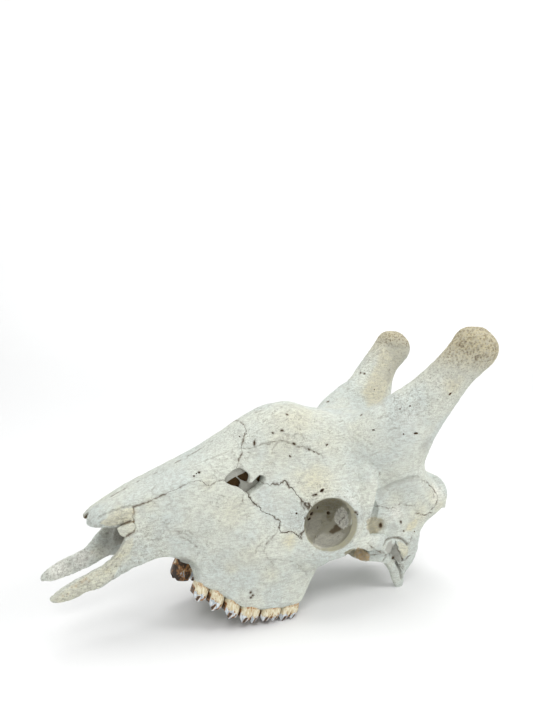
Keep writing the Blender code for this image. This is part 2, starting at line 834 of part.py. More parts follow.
def taken_pair(body, name, outline, depth, fall=0.0):
    """The left and right bones of a pair; a depth of 0 lets them meet on the midline."""
    inner = depth or SUTURE / 2
    across = {"left": (-HALF_SPAN, -inner), "right": (inner if depth else -5 * SUTURE, HALF_SPAN)}
    return {f"{name}_{side}": taken(body, outline, *across[side], fall) for side in SIDES}


def parted(skull):
    """The skull's bones by node name."""
    bones = {}
    bones |= taken_pair(skull, "ossicone", OSSICONE_OUTLINE, OSSICONE_DEPTH, OSSICONE_FALL)
    bones |= taken_pair(skull, "nasal", NASAL_OUTLINE, 0)
    bones |= taken_pair(skull, "premaxilla", PREMAXILLA_OUTLINE, 0)
    bones |= taken_pair(skull, "lacrimal", LACRIMAL_OUTLINE, LACRIMAL_DEPTH)
    bones |= taken_pair(skull, "zygomatic", ZYGOMATIC_OUTLINE, ZYGOMATIC_DEPTH)
    bones |= taken_pair(skull, "maxilla", MAXILLA_OUTLINE, 0)
    bones["frontal"] = taken(skull, FRONTAL_OUTLINE, -HALF_SPAN, HALF_SPAN)
    bones["occipital"] = taken(skull, OCCIPITAL_OUTLINE, -HALF_SPAN, HALF_SPAN)
    bones["braincase"] = largest_body(skull)
    return bones


# Finished model
def bone_material(name, colour):
    material = bpy.data.materials.new(name)
    material.use_nodes = True
    shader = material.node_tree.nodes["Principled BSDF"]
    shader.inputs["Base Color"].default_value = (*colour, 1)
    shader.inputs["Roughness"].default_value = 0.75
    shader.inputs["Metallic"].default_value = 0.0
    return material


def placed(bones):
    """Names the bones, gives each its material and sets the skull on the floor at the origin."""
    parts = bpy.data.collections.new("giraffe_skull")
    bpy.context.scene.collection.children.link(parts)
    rest = bpy.data.objects.new("skull_frame", None)
    parts.objects.link(rest)
    rest.rotation_euler = (0, resting_pitch(), 0)
    turn = rest.rotation_euler.to_matrix()
    corners = []
    for name, bone in bones.items():
        bone.name = name
        bone.data.name = name
        bone.data.transform(Matrix.Scale(UNIT, 4))
        bone.data.materials.clear()
        bone.data.materials.append(bone_material(f"{name}_bone", NODE_COLOURS[name.split("_")[0]]))
        bpy.context.scene.collection.objects.unlink(bone)
        parts.objects.link(bone)
        bone.parent = rest
        corners += [turn @ vert.co for vert in bone.data.vertices]
    low = Vector(min(corner[i] for corner in corners) for i in range(3))
    high = Vector(max(corner[i] for corner in corners) for i in range(3))
    rest.location = (-(low.x + high.x) / 2, -(low.y + high.y) / 2, -low.z)
    return parts


def main():
    reset_scene()
    skull = worn_flat(add_teeth(whole_skull(VOXEL, TRIANGLES)))
    placed(parted(skull))


if __name__ == "__main__":
    main()
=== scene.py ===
"""Giraffe skull with fine bones, open sutures, cracks, pores and cheek teeth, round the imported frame.

The skull is shaped in its own frame, in millimetres: X from the tips of the premaxillae back to the nape,
Y towards the animal's right, Z up from the grinding faces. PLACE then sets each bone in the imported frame.
"""

import math
import random

import bmesh
import bpy
import numpy as np
from mathutils import Matrix, Quaternion, Vector
from mathutils.bvhtree import BVHTree
from mathutils.kdtree import KDTree


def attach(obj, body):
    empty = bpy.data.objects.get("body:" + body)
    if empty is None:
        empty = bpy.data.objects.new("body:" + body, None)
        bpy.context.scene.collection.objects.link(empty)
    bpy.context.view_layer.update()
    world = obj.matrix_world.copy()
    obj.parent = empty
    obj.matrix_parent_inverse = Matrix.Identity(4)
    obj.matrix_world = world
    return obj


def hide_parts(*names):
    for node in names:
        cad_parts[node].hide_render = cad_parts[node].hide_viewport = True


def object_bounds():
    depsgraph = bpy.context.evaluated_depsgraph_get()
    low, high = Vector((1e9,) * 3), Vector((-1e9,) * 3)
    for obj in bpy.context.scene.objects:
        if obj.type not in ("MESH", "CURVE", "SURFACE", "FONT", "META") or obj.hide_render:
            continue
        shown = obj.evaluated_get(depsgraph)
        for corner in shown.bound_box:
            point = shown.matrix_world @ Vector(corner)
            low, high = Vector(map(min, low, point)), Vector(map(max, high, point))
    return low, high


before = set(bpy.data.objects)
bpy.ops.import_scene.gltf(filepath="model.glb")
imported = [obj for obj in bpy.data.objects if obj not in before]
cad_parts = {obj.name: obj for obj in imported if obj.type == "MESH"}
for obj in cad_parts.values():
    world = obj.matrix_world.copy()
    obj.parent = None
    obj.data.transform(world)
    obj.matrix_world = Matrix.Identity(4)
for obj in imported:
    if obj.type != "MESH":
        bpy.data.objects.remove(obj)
CAD_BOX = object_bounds()

# Place of the skull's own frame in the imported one
UNIT = 0.00096          # metres to one millimetre of the skull's own frame
PITCH = 0.1322775       # nose up, resting on molars and processes
ORIGIN = (-0.3322861, 0.0049345, 0.0596698)
PLACE = Matrix.Translation(ORIGIN) @ Matrix.Rotation(PITCH, 4, "Y") @ Matrix.Scale(UNIT, 4)

# Eye of the photograph in the skull's own frame
PHOTO_EYE = Vector((-185.904, -933.040, 476.718))
PHOTO_TURN = (0.46896, 0.09233, -0.15371)   # azimuth, elevation and roll in radians
PHOTO_FOCUS = 689.457                       # in pixels
PHOTO_SIZE = (533, 711)

ROUGH = 3.4             # grid of the broad masses
MIDDLE = 1.7            # grid of the thin bars and the openings
FINE = 1.43   # grid of the finished bone
SEED = 7
BOX_EASE = 0.002        # in metres, within which a point is eased back from the box's side
STATION_STEP = 6        # between the rings of a mass
CAVITY_STEP = 8         # between the rings of the nasal cavity
EVENING = 0.5           # how strongly a skin's small steps are evened out
OUTLINE_POINTS = 28     # round a body over an outline of the photograph
SKIN_SPREAD = 6         # depth by which those points may stray from their middle one
TWIN_GAP = 4            # from the midline, within which a small hole has no twin
PAINT_REACH = 3.0       # from the skin that the photograph shows to a painted point
FAR_PAINT = 0.8         # strength of the paint on the far side
SUTURE_DIRT = 0.8       # strength of the dirt along a suture
SHARP_ANGLE = 50        # in degrees, above which an edge isn't shaded smooth
KNOB_HEIGHTS = (360, 450)   # where the tan of the knobs sets in and where it is full
SIDES = {"left": -1, "right": 1}

# Roof, wall and tooth row from the notch of the nose to the back of the cheek teeth:
# x, roof height, shoulder half width and height, wall half width and height,
# gum half width and height, gum thickness, palate height
FACE = (
    (97, 168, 35, 152, 36, 115, 33, 58, 8, 66),
    (130, 188, 39, 169, 40, 120, 35, 71, 10, 79),
    (165, 208, 42, 184, 43, 125, 37, 78, 12, 86),
    (186, 221, 43, 193, 46, 125, 41, 79, 15, 87),
    (195, 226, 43, 196, 48.5, 125, 43.5, 76, 18, 84),
    (201, 230, 43.5, 197, 50, 124, 45, 68, 20, 76),
    (206, 234, 44, 198, 51.5, 122, 47, 43, 22, 68),
    (210, 237, 44.5, 198, 53, 122, 48, 40, 22, 65),
    (240, 260, 47, 204, 62, 118, 58, 29, 27, 52),
    (280, 291, 52, 214, 73, 112, 69, 10, 30, 46),
    (320, 308, 60, 222, 79, 112, 73, 6, 31, 44),
    (355, 308, 64, 236, 80, 120, 71, 6, 31, 46),
    (376, 304, 62, 241, 78, 124, 69, 9, 30, 48),
    (391, 300, 60, 244, 73, 129, 64, 37, 25, 58),
    (405, 296, 57, 242, 65, 135, 57, 58, 18, 70),
    (424, 292, 54, 240, 54, 140, 46, 80, 12, 86),
)
# Nasal bones where they overhang the nose: x, roof height, half width, height of the side's lower edge
NASAL = (
    (43, 130, 13, 119.5),
    (52, 138.5, 21, 118.5),
    (70, 151.5, 27, 120.5),
    (97, 170, 34, 123.5),
    (125, 187, 37, 124),
)
# Nasal cavity: x, half width, floor and roof heights
CAVITY = (
    (28, 12, 60, 124),
    (45, 13, 62, 132),
    (62, 19, 64, 143),
    (80, 23, 66, 154),
    (104, 26, 76, 166),
    (135, 31, 88, 184),
    (170, 35, 95, 204),
    (206, 38, 92, 226),
    (240, 42, 88, 246),
    (275, 40, 96, 262),
    (305, 28, 120, 252),
)
INCISIVE_GAP = {"x": (66, 132), "half_width": 21, "z": (40, 96)}
# Premaxilla, a tall thin blade that runs down into a flat pointed tip: x, y, z, half width, half height
PREMAXILLA_LEAN = 0.25   # how far its upper edge leans away from the midline
PREMAXILLA = (
    (3.5, 28.5, 21.5, 3, 3),
    (13, 30, 25.5, 7, 9),
    (28, 30, 32, 8, 14.5),
    (43, 30, 40, 7.5, 15),
    (58, 30.5, 48.5, 6.5, 15),
    (71, 31, 58, 5.5, 15.5),
    (82, 32.5, 69, 5, 19),
    (93, 33.5, 80, 5, 25),
    (108, 34, 91, 4.8, 31),
    (128, 35, 100, 4.5, 31),
)
PREMAXILLA_ROOT = 100   # where the two prongs stop differing
# How far each one's tip is set back and up
PREMAXILLA_TIP = {"left": (0, -0.5), "right": (-5, 2.5)}

# Frontal dome, roof and braincase: x, roof height, brow half width and height,
# wall half width and height, base half width and height
CRANIUM = (
    (300, 296, 40, 262, 46, 220, 40, 170),
    (340, 311, 52, 262, 62, 215, 50, 150),
    (380, 304, 60, 256, 74, 210, 50, 130),
    (420, 302, 66, 258, 76, 215, 48, 105),
    (460, 307, 73, 264, 72, 215, 46, 84),
    (500, 302, 78, 264, 64, 190, 50, 78),
    (540, 272, 76, 248, 62, 165, 52, 76),
    (575, 240, 66, 218, 62, 160, 52, 80),
    (600, 216, 58, 205, 60, 160, 50, 92),
)
# Nape behind the braincase: x, half width, top and bottom heights
NAPE = (
    (575, 58, 222, 96),
    (600, 61, 214, 103),
    (622, 60, 208, 123),
    (642, 55, 204, 138),
    (655, 42, 196, 156),
    (660, 30, 188, 166),
)
# Eye socket, given for the right side
ORBIT = Vector((391, 94, 145))
ORBIT_AXIS = Vector((-0.30, 0.95, 0.02)).normalized()
# Outer cone of the socket and its bowl: depth below the rim, radius along and up, shift back and up
ORBIT_CONE = (
    (66, 88, 92, -6, 14),
    (40, 72, 72, -4, 8),
    (20, 60, 58, -2, 3),
    (8, 53, 52, 0, 1),
    (1, 50, 49, 0, 0),
    (-1.5, 46.5, 46, 0, 0),
)
ORBIT_BOWL = (
    (-14, 46, 46, 0, 0),
    (0, 42, 42, 0, 0),
    (12, 35.0, 37.8, -3.6, 0.9),
    (14, 41, 42.5, -1, 0),
    (24, 44.5, 43.5, 0, 0),
    (34, 38, 39, 2, 0),
    (46, 28, 30, 5, 0),
    (56, 14, 16, 8, 0),
)
# Cheek arch and the bar behind the eye: x, y, z, half width, half height
ARCH = (
    (322, 58, 98, 10, 16),
    (352, 74, 95, 9, 15),
    (392, 91, 98, 7, 10.5),
    (430, 96, 108, 7, 10),
    (460, 95, 115, 6.5, 14),
    (490, 87, 114, 8, 13),
    (514, 73, 108, 12, 11),
    (535, 56, 104, 14, 12),
)
# Plate of the cheek between the arch and the back of the tooth row
CHEEK = (
    (328, 62, 86, 8, 18),
    (358, 72, 86, 8, 19),
    (384, 79, 88, 7, 16),
    (408, 88, 99, 5, 8),
)
POSTORBITAL = (
    (452, 62, 236, 14, 18),
    (458, 78, 206, 10, 17),
    (459, 87, 176, 7, 15),
    (458, 91, 148, 6, 13),
    (454, 94, 122, 7, 15),
    (444, 95, 106, 7, 14),
)
# Ossicones: x, y, z, half width, half length fore and aft
OSSICONE = (
    (484, 34, 205, 26, 66),
    (494, 45, 240, 40, 82),
    (508, 54, 272, 42, 78),
    (524, 62, 303, 38, 66),
    (543, 72, 335, 34, 52),
    (561, 84, 370, 31, 42),
    (578, 93, 402, 30, 36),
    (593, 98, 424, 33.5, 36.5),
    (602, 100.5, 440, 36.5, 38),
    (610, 102, 454, 32, 33),
    (615, 103, 464, 19, 20),
    (617, 103.3, 467, 6, 6),
)
OSSICONE_FOOT = 290    # height above which the two ossicones differ
OSSICONE_SHOULDER = 35 # height over which the difference in girth comes in
OSSICONE_BUILD = {"left": (1.0, 1.0), "right": (0.81, 0.88)}   # of height above the foot, and of girth
OSSICONE_LEAN = (0.34, 0.20)   # how a shorter one's top stays forward and inward
OSSICONE_BOW = {"left": 0, "right": 6}   # how far the shaft is set forward halfway up

BROAD_FILLET = 34      # radius in which the ossicones, brow, sockets and roof run into one another
FINE_FILLET = 6        # radius in which the thinner bars and processes do

# Base of the skull
CONDYLE = ((600, 27, 86), (17, 16, 25))
PAROCCIPITAL = (
    (572, 56, 116, 24, 12),
    (572, 53, 92, 27, 9),
    (571, 50, 64, 29, 6),
    (573, 46, 38, 18, 4.8),
    (581, 43.5, 21, 12, 4.2),
    (584, 43, 12, 9, 3.5),
)
PTERYGOID = (
    (388, 30, 60, 3.5, 16),
    (420, 27, 66, 3.5, 17),
    (455, 24, 72, 3.5, 15),
    (485, 21, 80, 4, 10),
)
BASE_BAR = (
    (395, 0, 92, 16, 12),
    (450, 0, 88, 17, 13),
    (520, 0, 82, 20, 14),
    (570, 0, 78, 22, 13),
    (602, 0, 76, 24, 12),
)
FORAMEN_MAGNUM = ((560, 0, 128, 15, 14), (600, 0, 118, 17, 16), (650, 0, 104, 20, 19))
CHOANA = ((340, 0, 66, 12, 8), (375, 0, 68, 17, 11), (400, 0, 64, 20, 12), (440, 0, 56, 19, 16))
# Upright front wall of the tooth row, cut from the inside out
TOOTH_GAP = ((190, 26, 53.5, 20.5, 21.5), (190, 80, 53.5, 20.5, 21.5))
EAR_OPENING = ((525, 82, 92, 5, 5), (530, 58, 94, 4, 4), (535, 44, 95, 3, 3))

# Hollows at the sides, given for the right one: centre, radii
TEMPLE = ((500, 104, 165), (27, 42, 50))
PASSAGE = ((466, 66, 150), (33, 11, 28))
# Lumps at the sides of the skull's base, given for the right one: centre, radii
EAR_BLOCK = ((554, 53, 100), (30, 17, 22))
BULLA = ((504, 31, 80), (17, 13, 12))
JAW_JOINT = ((505, 70, 96), (22, 20, 8))

# Cheek teeth: name, length, width, crown height, lobes
TEETH = (
    ("P2", 24, 20, 27, 1),
    ("P3", 24, 24, 32, 1),
    ("P4", 24, 27, 29.5, 1),
    ("M1", 33, 29, 26, 2),
    ("M2", 34, 31, 23.5, 2),
    ("M3", 33, 29, 24.5, 2),
)
TOOTH_ROW_START = 206.5
TOOTH_LABELS = ("along", "down", "outer", "pit", "lobes")   # values that a crown's points carry
ROOT_DEPTH = 13
CROWN_WEAR = (0.96, 1.03)   # least and greatest height of a crown as a share of its kind's

# Where the skull rests, in its own frame
MOLAR_CONTACT = (345, -16.8)
PROCESS_CONTACT = (584, 15.0)
FLOOR_SPAN = (200, 700)
FLOOR_DEPTH = 60

TOOTH_RIB = 2.2         # how far the ribs of a crown's outer face stand proud
TOOTH_LEAN = 0.17       # how far a crown's tip stands forward, as a share of its height
TOOTH_PEAK = -0.38      # where a lobe is longest, from -1 at its front edge to 1 at its back edge
FAR_P2_GROWTH = 1.36    # the far row's first tooth stands longer
FAR_P2_LENGTH = 1.3
SQUARENESS = 3.4        # of a crown's section: 2 gives a round one, more a squarer one
# Places of a crown's slit and hollow along a lobe and their widths, on premolars and on molars
TOOTH_SLIT = ((-0.40, 0.16), (-0.12, 0.22))
TOOTH_HOLLOW = ((0.34, 0.20), (0.62, 0.26))
FAR_P2_STAIN_AND_SHADE = (-236, -224)   # from where to where the stain and painted shade on the far row's front fade in
SUTURE_STEP = 2.1       # between the waves of a suture
MOST_WAVES = 60         # on one side of a bone's outline
GAP_VARIES = (0.5, 1.7) # least and greatest width of a suture as a share of its own
SHARPEST_TURN = 0.8     # limits how far a sharp corner of a suture moves out
CRACK_STEP = 0.6        # along a crack, in pixels of the photograph
CRACK_SWAY = 0.75       # of a thin crack to either side, in pixels
PORE_SPACING = 10
# Cracks, seams, hollows and ridges (negative depth): radius and depth in millimetres, stain, which on the
# wide shallow grooves is a faint painted shade, and where they run in the photograph
CRACKS = (
    # round the ear
    (2.8, 3.6, 0.75, [(384, 545), (386, 541), (389, 538), (393, 537), (398, 537.5), (402, 539),
        (405, 541.5), (408, 545)]),
    (1.8, 1.8, 0.7, [(396, 544), (398, 550), (400, 556), (403, 561), (407, 559), (410, 555)]),
    (1.5, 2.0, 0.7, [(394, 559), (397, 562.5), (400, 566), (403.5, 569)]),
    (1.3, 1.4, 0.5, [(397.5, 560.5), (401, 564), (404.5, 567)]),
    (2.6, 2.4, 0.35, [(397, 563), (399.5, 569), (401, 574), (402, 580)]),
    (1.6, 1.2, 0.5, [(387, 554), (385, 557), (383.5, 561)]),
    (2.2, 1.6, 0.35, [(380, 551), (383, 552.5), (386, 555)]),
    (1.2, 0.8, 0.75, [(368, 543.5), (371, 546), (374, 549), (378, 552), (381, 553.5)]),
    (1.2, 0.7, 0.6, [(367, 553), (372, 554.5), (378, 554.5), (382, 553)]),
    (1.2, 0.5, 0.4, [(408, 545), (411, 541), (412, 536)]),
    # arch, pit behind the eye and line along the temple
    (6.0, -2.0, 0.0, [(366, 530), (371, 534), (377, 536.5), (385, 536)]),
    (5.5, -1.6, 0.0, [(377, 488), (384, 484), (391, 481), (398, 478), (404, 476), (411, 474),
        (418, 473)]),
    (4.0, 1.0, 0.12, [(378, 491), (385, 487), (392, 484), (399, 481), (405, 479), (412, 477),
        (418, 476.5)]),
    (1.2, 0.5, 0.6, [(375, 506.3), (379, 506.5), (383, 507), (388, 508.2), (391, 508.6), (394, 507),
        (396, 507.8)]),
    (1.2, 0.5, 0.55, [(398, 505), (401, 503.5), (404, 504.8), (409, 505.5), (413, 505.8), (416, 505)]),
    (1.6, 1.4, 0.9, [(427, 482), (431, 486), (433.5, 489.5), (435, 492)]),
    (1.4, 1.0, 0.7, [(434, 490), (437, 495), (437.8, 500), (436.5, 503), (434, 507), (431, 510)]),
    (1.3, 0.8, 0.6, [(433, 492), (434.5, 496.5), (433.5, 499)]),
    (1.2, 0.5, 0.4, [(418, 476), (421, 479), (424, 481), (427, 482.5)]),
    (1.4, 1.0, 0.85, [(416, 513.3), (420, 513.7), (424, 514.7), (428, 514), (433, 512)]),
    (1.2, 0.5, 0.35, [(413, 510), (417, 511), (420, 510)]),
    # forehead and boss
    (1.2, 0.5, 0.45, [(243, 448), (250, 449), (256, 447), (262, 444), (268, 444), (273, 441.5),
        (280, 441), (285, 441.5), (290, 443), (294, 445), (298, 447)]),
    (1.3, 0.7, 0.6, [(298, 447), (303, 447), (308, 449), (313, 451), (317, 453), (321, 455), (323, 459)]),
    (5.0, -0.9, 0.0, [(250, 446), (262, 441), (280, 438), (294, 441.5), (308, 445), (321, 451)]),
    (1.2, 0.4, 0.4, [(272, 454), (273, 448), (277, 443), (281, 441)]),
    (1.3, 0.5, 0.5, [(255.5, 439), (254, 443), (254, 447)]),
    (1.3, 0.4, 0.35, [(248, 452), (254, 455), (262, 456)]),
    (1.0, 0.3, 0.3, [(200, 463), (210, 459), (220, 455), (229, 451)]),
    (1.0, 0.3, 0.4, [(253, 413), (258, 411.5), (262, 410)]),
    (1.0, 0.25, 0.2, [(352, 437), (358, 441), (363, 445), (368, 449), (374, 452)]),
    (1.0, 0.25, 0.15, [(354, 432), (362, 438), (370, 444), (376, 449)]),
    (1.0, 0.25, 0.15, [(360, 453), (367, 459), (373, 464), (379, 469)]),
    (1.2, 0.3, 0.15, [(382, 452), (388, 458), (394, 463)]),
    (1.2, 0.3, 0.15, [(386, 446), (393, 451), (399, 457)]),
    (1.0, 0.4, 0.35, [(378, 418), (384, 416), (390, 418), (393, 423)]),
    (1.0, 0.4, 0.35, [(388, 432), (394, 428), (400, 428)]),
    (1.4, 0.6, 0.5, [(377, 478), (380, 475), (379, 471)]),
    # cheek
    (1.1, 0.5, 0.45, [(281, 523), (279, 528), (277, 532), (274, 536), (269, 541), (266, 545)]),
    (1.0, 0.4, 0.3, [(266, 545), (264, 551), (266, 556), (270, 560), (273, 566)]),
    (1.1, 0.5, 0.45, [(281, 533), (284, 532), (288, 531.5), (293, 532), (297, 535), (301, 539)]),
    (1.0, 0.3, 0.3, [(268, 560), (278, 560), (288, 560.5), (295, 562), (300, 566), (304, 571),
        (309, 577)]),
    (3.0, -0.7, 0.0, [(250, 560), (262, 557), (276, 556), (288, 557)]),
    (2.5, 0.7, 0.06, [(240, 565), (255, 563), (268, 566), (280, 571)]),
    (3.0, -0.7, 0.0, [(262, 582), (276, 581), (290, 578), (302, 574)]),
    (2.5, 0.7, 0.06, [(266, 589), (278, 586), (292, 582), (302, 579)]),
    (3.5, 0.8, 0.05, [(299, 551), (310, 555), (322, 557), (335, 557), (346, 553)]),
    (1.2, 0.4, 0.5, [(243, 496), (242.5, 500), (243, 503)]),
    (1.0, 0.4, 0.4, [(263, 542), (258, 547), (255, 553)]),
    # in the eye socket
    (1.5, 0.9, 0.7, [(338, 525), (340.5, 521), (343, 517.5), (345, 515)]),
    (1.2, 0.6, 0.5, [(315.5, 536), (315, 540), (314, 544)]),
    (1.1, 0.6, 0.5, [(317.5, 536), (317, 539)]),
    # round its front edge
    (1.4, 1.0, 0.75, [(304, 505), (307, 508), (309, 511), (311, 512)]),
    (1.2, 0.8, 0.6, [(301, 503), (303, 507), (305, 511)]),
    (1.3, 0.9, 0.7, [(306, 515), (308, 518), (309, 521)]),
    # muzzle
    (1.2, 0.6, 0.5, [(133, 506), (134, 512), (134.5, 519), (135, 527), (135, 535)]),
    (4.0, -1.6, 0.0, [(103, 522), (110, 518), (118, 514.5), (126, 512), (131, 511)]),
    (1.8, 0.9, 0.3, [(98, 518), (106, 513), (114, 510), (122, 508), (131, 506)]),
    (1.3, 0.7, 0.3, [(110, 522), (118, 519.5), (126, 518), (131, 518)]),
    (2.0, 1.4, 0.85, [(121, 525.5), (126, 523.5), (131, 521)]),
    (2.6, -1.4, 0.0, [(130, 550), (126, 557), (121, 564), (114, 576), (104, 584.5), (98, 588)]),
    (2.0, 0.7, 0.12, [(126, 547), (121, 554), (114, 562), (107, 570), (98, 577)]),
    (1.1, 0.5, 0.35, [(118, 557), (112, 564), (106, 571)]),
    (1.1, 0.5, 0.35, [(92, 580), (86, 584), (78, 588)]),
    (1.1, 0.4, 0.3, [(124, 549), (119, 556), (116, 560)]),
    (1.0, 0.4, 0.35, [(176, 531), (182, 532.5), (187, 535), (191, 538.5), (195, 543)]),
    (1.1, 0.5, 0.4, [(180, 537), (186, 539), (192, 543), (198, 548)]),
    (1.0, 0.4, 0.4, [(186, 530), (191, 533), (194, 537)]),
    (1.0, 0.4, 0.3, [(166, 524), (168, 530), (172, 535)]),
    (1.0, 0.4, 0.35, [(150, 541), (156, 539), (162, 539)]),
)
# Small holes: place in the photograph, half width, half height and depth in millimetres, tilt in degrees
HOLES = (
    (322, 490.3, 4.0, 2.0, 7, 38), (315.5, 494.7, 2.4, 1.1, 4, 15), (313, 495.3, 1.2, 0.9, 3, 0),
    (311.5, 513.7, 3.8, 2.4, 7, 20), (309.5, 518.8, 3.6, 1.8, 6, 10), (317.5, 507.5, 1.5, 2.6, 4, -20),
    (296.5, 513.4, 1.7, 1.6, 6, 0), (328, 512.7, 2.6, 2.6, 8, 0), (304.8, 518.5, 1.0, 2.2, 4, 0),
    (355.5, 512.5, 1.8, 1.2, 4, 30), (357.5, 514.5, 1.4, 1.0, 4, 30), (305.5, 503, 1.0, 1.0, 3, 0),
    (199, 472.6, 1.6, 1.6, 5, 0), (194, 476, 1.5, 1.4, 4, 0), (196.5, 473.5, 1.0, 1.0, 3, 0),
    (380.5, 525.3, 2.4, 3.8, 9, 10), (401, 522, 1.2, 2.2, 4, 20), (403.5, 531, 1.6, 1.0, 3, 0),
    (414.6, 531.5, 1.6, 1.4, 3, 0), (416, 433.3, 4.4, 1.8, 5, -10), (373.5, 430, 2.2, 1.2, 4, 0),
    (403.5, 434, 1.3, 1.2, 4, 0), (410, 406, 1.2, 1.6, 4, 0), (400, 409, 1.1, 1.2, 3, 0),
    (290, 456.3, 2.2, 1.0, 4, -40), (294, 443.8, 2.4, 1.1, 4, -30), (327, 444.8, 2.6, 1.1, 4, 35),
    (254.3, 443, 1.2, 3.4, 3, 0), (282, 430.5, 2.0, 1.0, 3, 0), (287, 414.5, 1.8, 1.0, 3, 0),
    (272.5, 433, 1.2, 1.0, 3, 0), (250.6, 592.3, 1.3, 1.2, 3, 0), (252.8, 595.4, 1.2, 1.3, 3, 0),
    (250.8, 597.6, 1.2, 1.1, 3, 0), (393, 558, 2.2, 2.6, 8, 0), (360.5, 372.5, 1.2, 1.6, 3, 0),
    (364.5, 373.5, 1.1, 1.4, 3, 0), (374.5, 389.5, 1.4, 1.2, 3, 0), (328, 401.7, 1.6, 1.2, 3, 0),
    (450, 394, 3.0, 2.0, 2.5, 40), (86.5, 516.5, 3.4, 2.0, 3, 25), (239.5, 436.5, 1.4, 1.0, 3, 0),
    (246, 434, 1.2, 1.0, 3, 0), (309, 449.5, 1.6, 0.9, 3, -30), (314, 452, 1.8, 0.9, 3, -30),
)
# Patches of another tone: places in the photograph, radius in millimetres and strength. The light ones are
# painted light, the grey ones painted shade, and the cool ones partly painted shade
TINTS = {
    # painted light: paler bone where the bone is to look more brightly lit
    "painted_light": ((396, 513, 14, 0.5), (436, 492, 14, 0.6), (352, 500, 14, 0.2), (80, 560, 16, 0.9),
        (60, 570, 16, 0.9), (440, 385, 14, 0.2), (410, 420, 18, 0.2)),
    "warm": ((232, 510, 24, 0.5), (315, 480, 26, 0.8), (290, 541, 12, 1.0), (285, 445, 30, 0.5),
        (272, 575, 18, 0.5), (300, 420, 40, 0.6), (420, 515, 25, 0.6), (405, 552, 14, 0.6),
        (375, 526, 12, 0.7), (330, 440, 40, 0.4), (433, 495, 18, 0.7), (245, 555, 22, 0.35),
        (120, 556, 9, 0.9), (108, 571, 9, 0.9), (95, 582, 10, 0.5), (80, 590, 10, 0.6),
        (62, 599, 10, 0.6), (118, 516, 12, 0.9), (128, 514, 10, 0.9), (127, 530, 9, 0.9),
        (100, 552, 12, 0.5), (232, 569, 10, 0.5), (396, 500, 20, 0.4), (440, 505, 14, 0.6),
        (452, 388, 16, 0.7), (488, 338, 14, 0.8), (150, 503, 12, 0.4), (207, 484, 10, 0.5)),
    # cool: bluish-grey painted shade on faces turned down or away from the lamps, and a painted bluish
    # highlight on the ridge under the pit behind the eye
    "cool_tone_and_shade": ((213, 575, 24, 0.8), (248, 578, 22, 0.8), (280, 584, 18, 0.6), (175, 505, 20, 0.5),
        (188, 545, 20, 0.6), (408, 482, 26, 0.7), (362, 516, 12, 0.7), (385, 537, 9, 1.0),
        (405, 452, 26, 0.6), (394, 571, 14, 0.6), (150, 552, 18, 0.6), (330, 562, 20, 0.7),
        (205, 525, 20, 0.5), (290, 560, 16, 0.5), (385, 440, 24, 0.4), (260, 500, 16, 0.4),
        (165, 472, 30, 0.8), (190, 455, 30, 0.7), (135, 497, 24, 0.6), (215, 440, 26, 0.5),
        (230, 555, 20, 0.7), (232, 505, 22, 0.4), (282, 500, 14, 0.4)),
    "brown": ((134, 512, 5, 0.35), (127, 523, 5, 0.5), (86, 516, 6, 0.5), (311, 515, 6, 0.45),
        (82, 582, 1.8, 0.8), (86, 579, 1.6, 0.8), (84, 580.5, 1.4, 0.7), (89, 581, 1.5, 0.6),
        (76, 586, 1.5, 0.7), (72, 587, 1.3, 0.6), (68, 594, 1.6, 0.6), (63, 596, 1.4, 0.7),
        (97, 575, 1.3, 0.5), (92, 552, 2, 0.3)),
    # painted shade: darker grey in hollows, under ridges and where the bone is to look less lit
    "painted_shade": ((190, 540, 34, 0.10), (245, 565, 34, 0.10), (395, 440, 30, 0.10), (117, 536, 10, 0.25),
        (191, 566, 5, 0.6), (384, 553, 3.5, 0.6), (285, 425, 34, 0.12), (234, 512, 24, 0.08),
        (363, 515, 9, 0.45), (426, 446, 15, 0.5), (400, 488, 18, 0.16), (280, 503, 20, 0.08),
        (230, 560, 22, 0.12), (165, 470, 26, 0.06), (112, 580, 6, 0.3), (126, 571, 7, 0.4),
        (142, 565, 7, 0.4), (392, 366, 9, 0.2), (470, 383, 9, 0.2), (488, 360, 9, 0.25),
        (390, 483, 8, 0.25), (405, 479, 8, 0.25), (303, 507, 6, 0.35)),
}
# Chip of bone at the front end of the near premaxilla's seam, and its distances across
CHIP = [
    (117.5, 529.5), (121, 527.3), (127, 525.5), (133, 523), (135, 525), (134.5, 534), (131, 536.5),
    (124, 537.5), (120, 535),
]
CHIP_ACROSS = (-39.6, -35.0)
# Plate inside the gap at the side of the nose, painted grey as shade, the holes in it, and its distances
# across
PLATE = [
    (222, 482), (228, 473), (236, 466), (250, 469), (252, 476), (262, 473), (267, 478), (262, 487),
    (250, 495), (243, 493), (232, 490),
]
PLATE_HOLES = (
    [(237, 476.5), (243.5, 473.5), (249, 470), (254, 474), (252, 480.5), (246, 482), (241, 480)],
    [(224, 485.5), (230, 480.5), (235.8, 477), (239.5, 480), (241, 483), (238, 491), (229, 490)],
    [(256.5, 479.5), (260, 475), (267, 474), (268, 483), (262.5, 487)],
)
PLATE_ACROSS = (-41.5, -38.5)
# Plate behind it, painted dark brown in place of the shade of a deep hollow
SHADOW_PLATE = [
    (219, 476), (228, 463), (240, 459), (256, 464), (272, 469), (274, 482), (262, 494), (250, 502),
    (240, 497), (222, 491),
]
SHADOW_PLATE_ACROSS = (-36, -32)
# Lower edge of the near prong, and of the keel that runs under it
KEEL = [
    (152, 560.5), (140, 565.5), (130, 569.5), (120, 575.5), (110, 581.5), (100, 587), (90, 592.5),
]
KEEL_ACROSS = -35
KEEL_SIZE = (4.5, 7)    # half width and half height

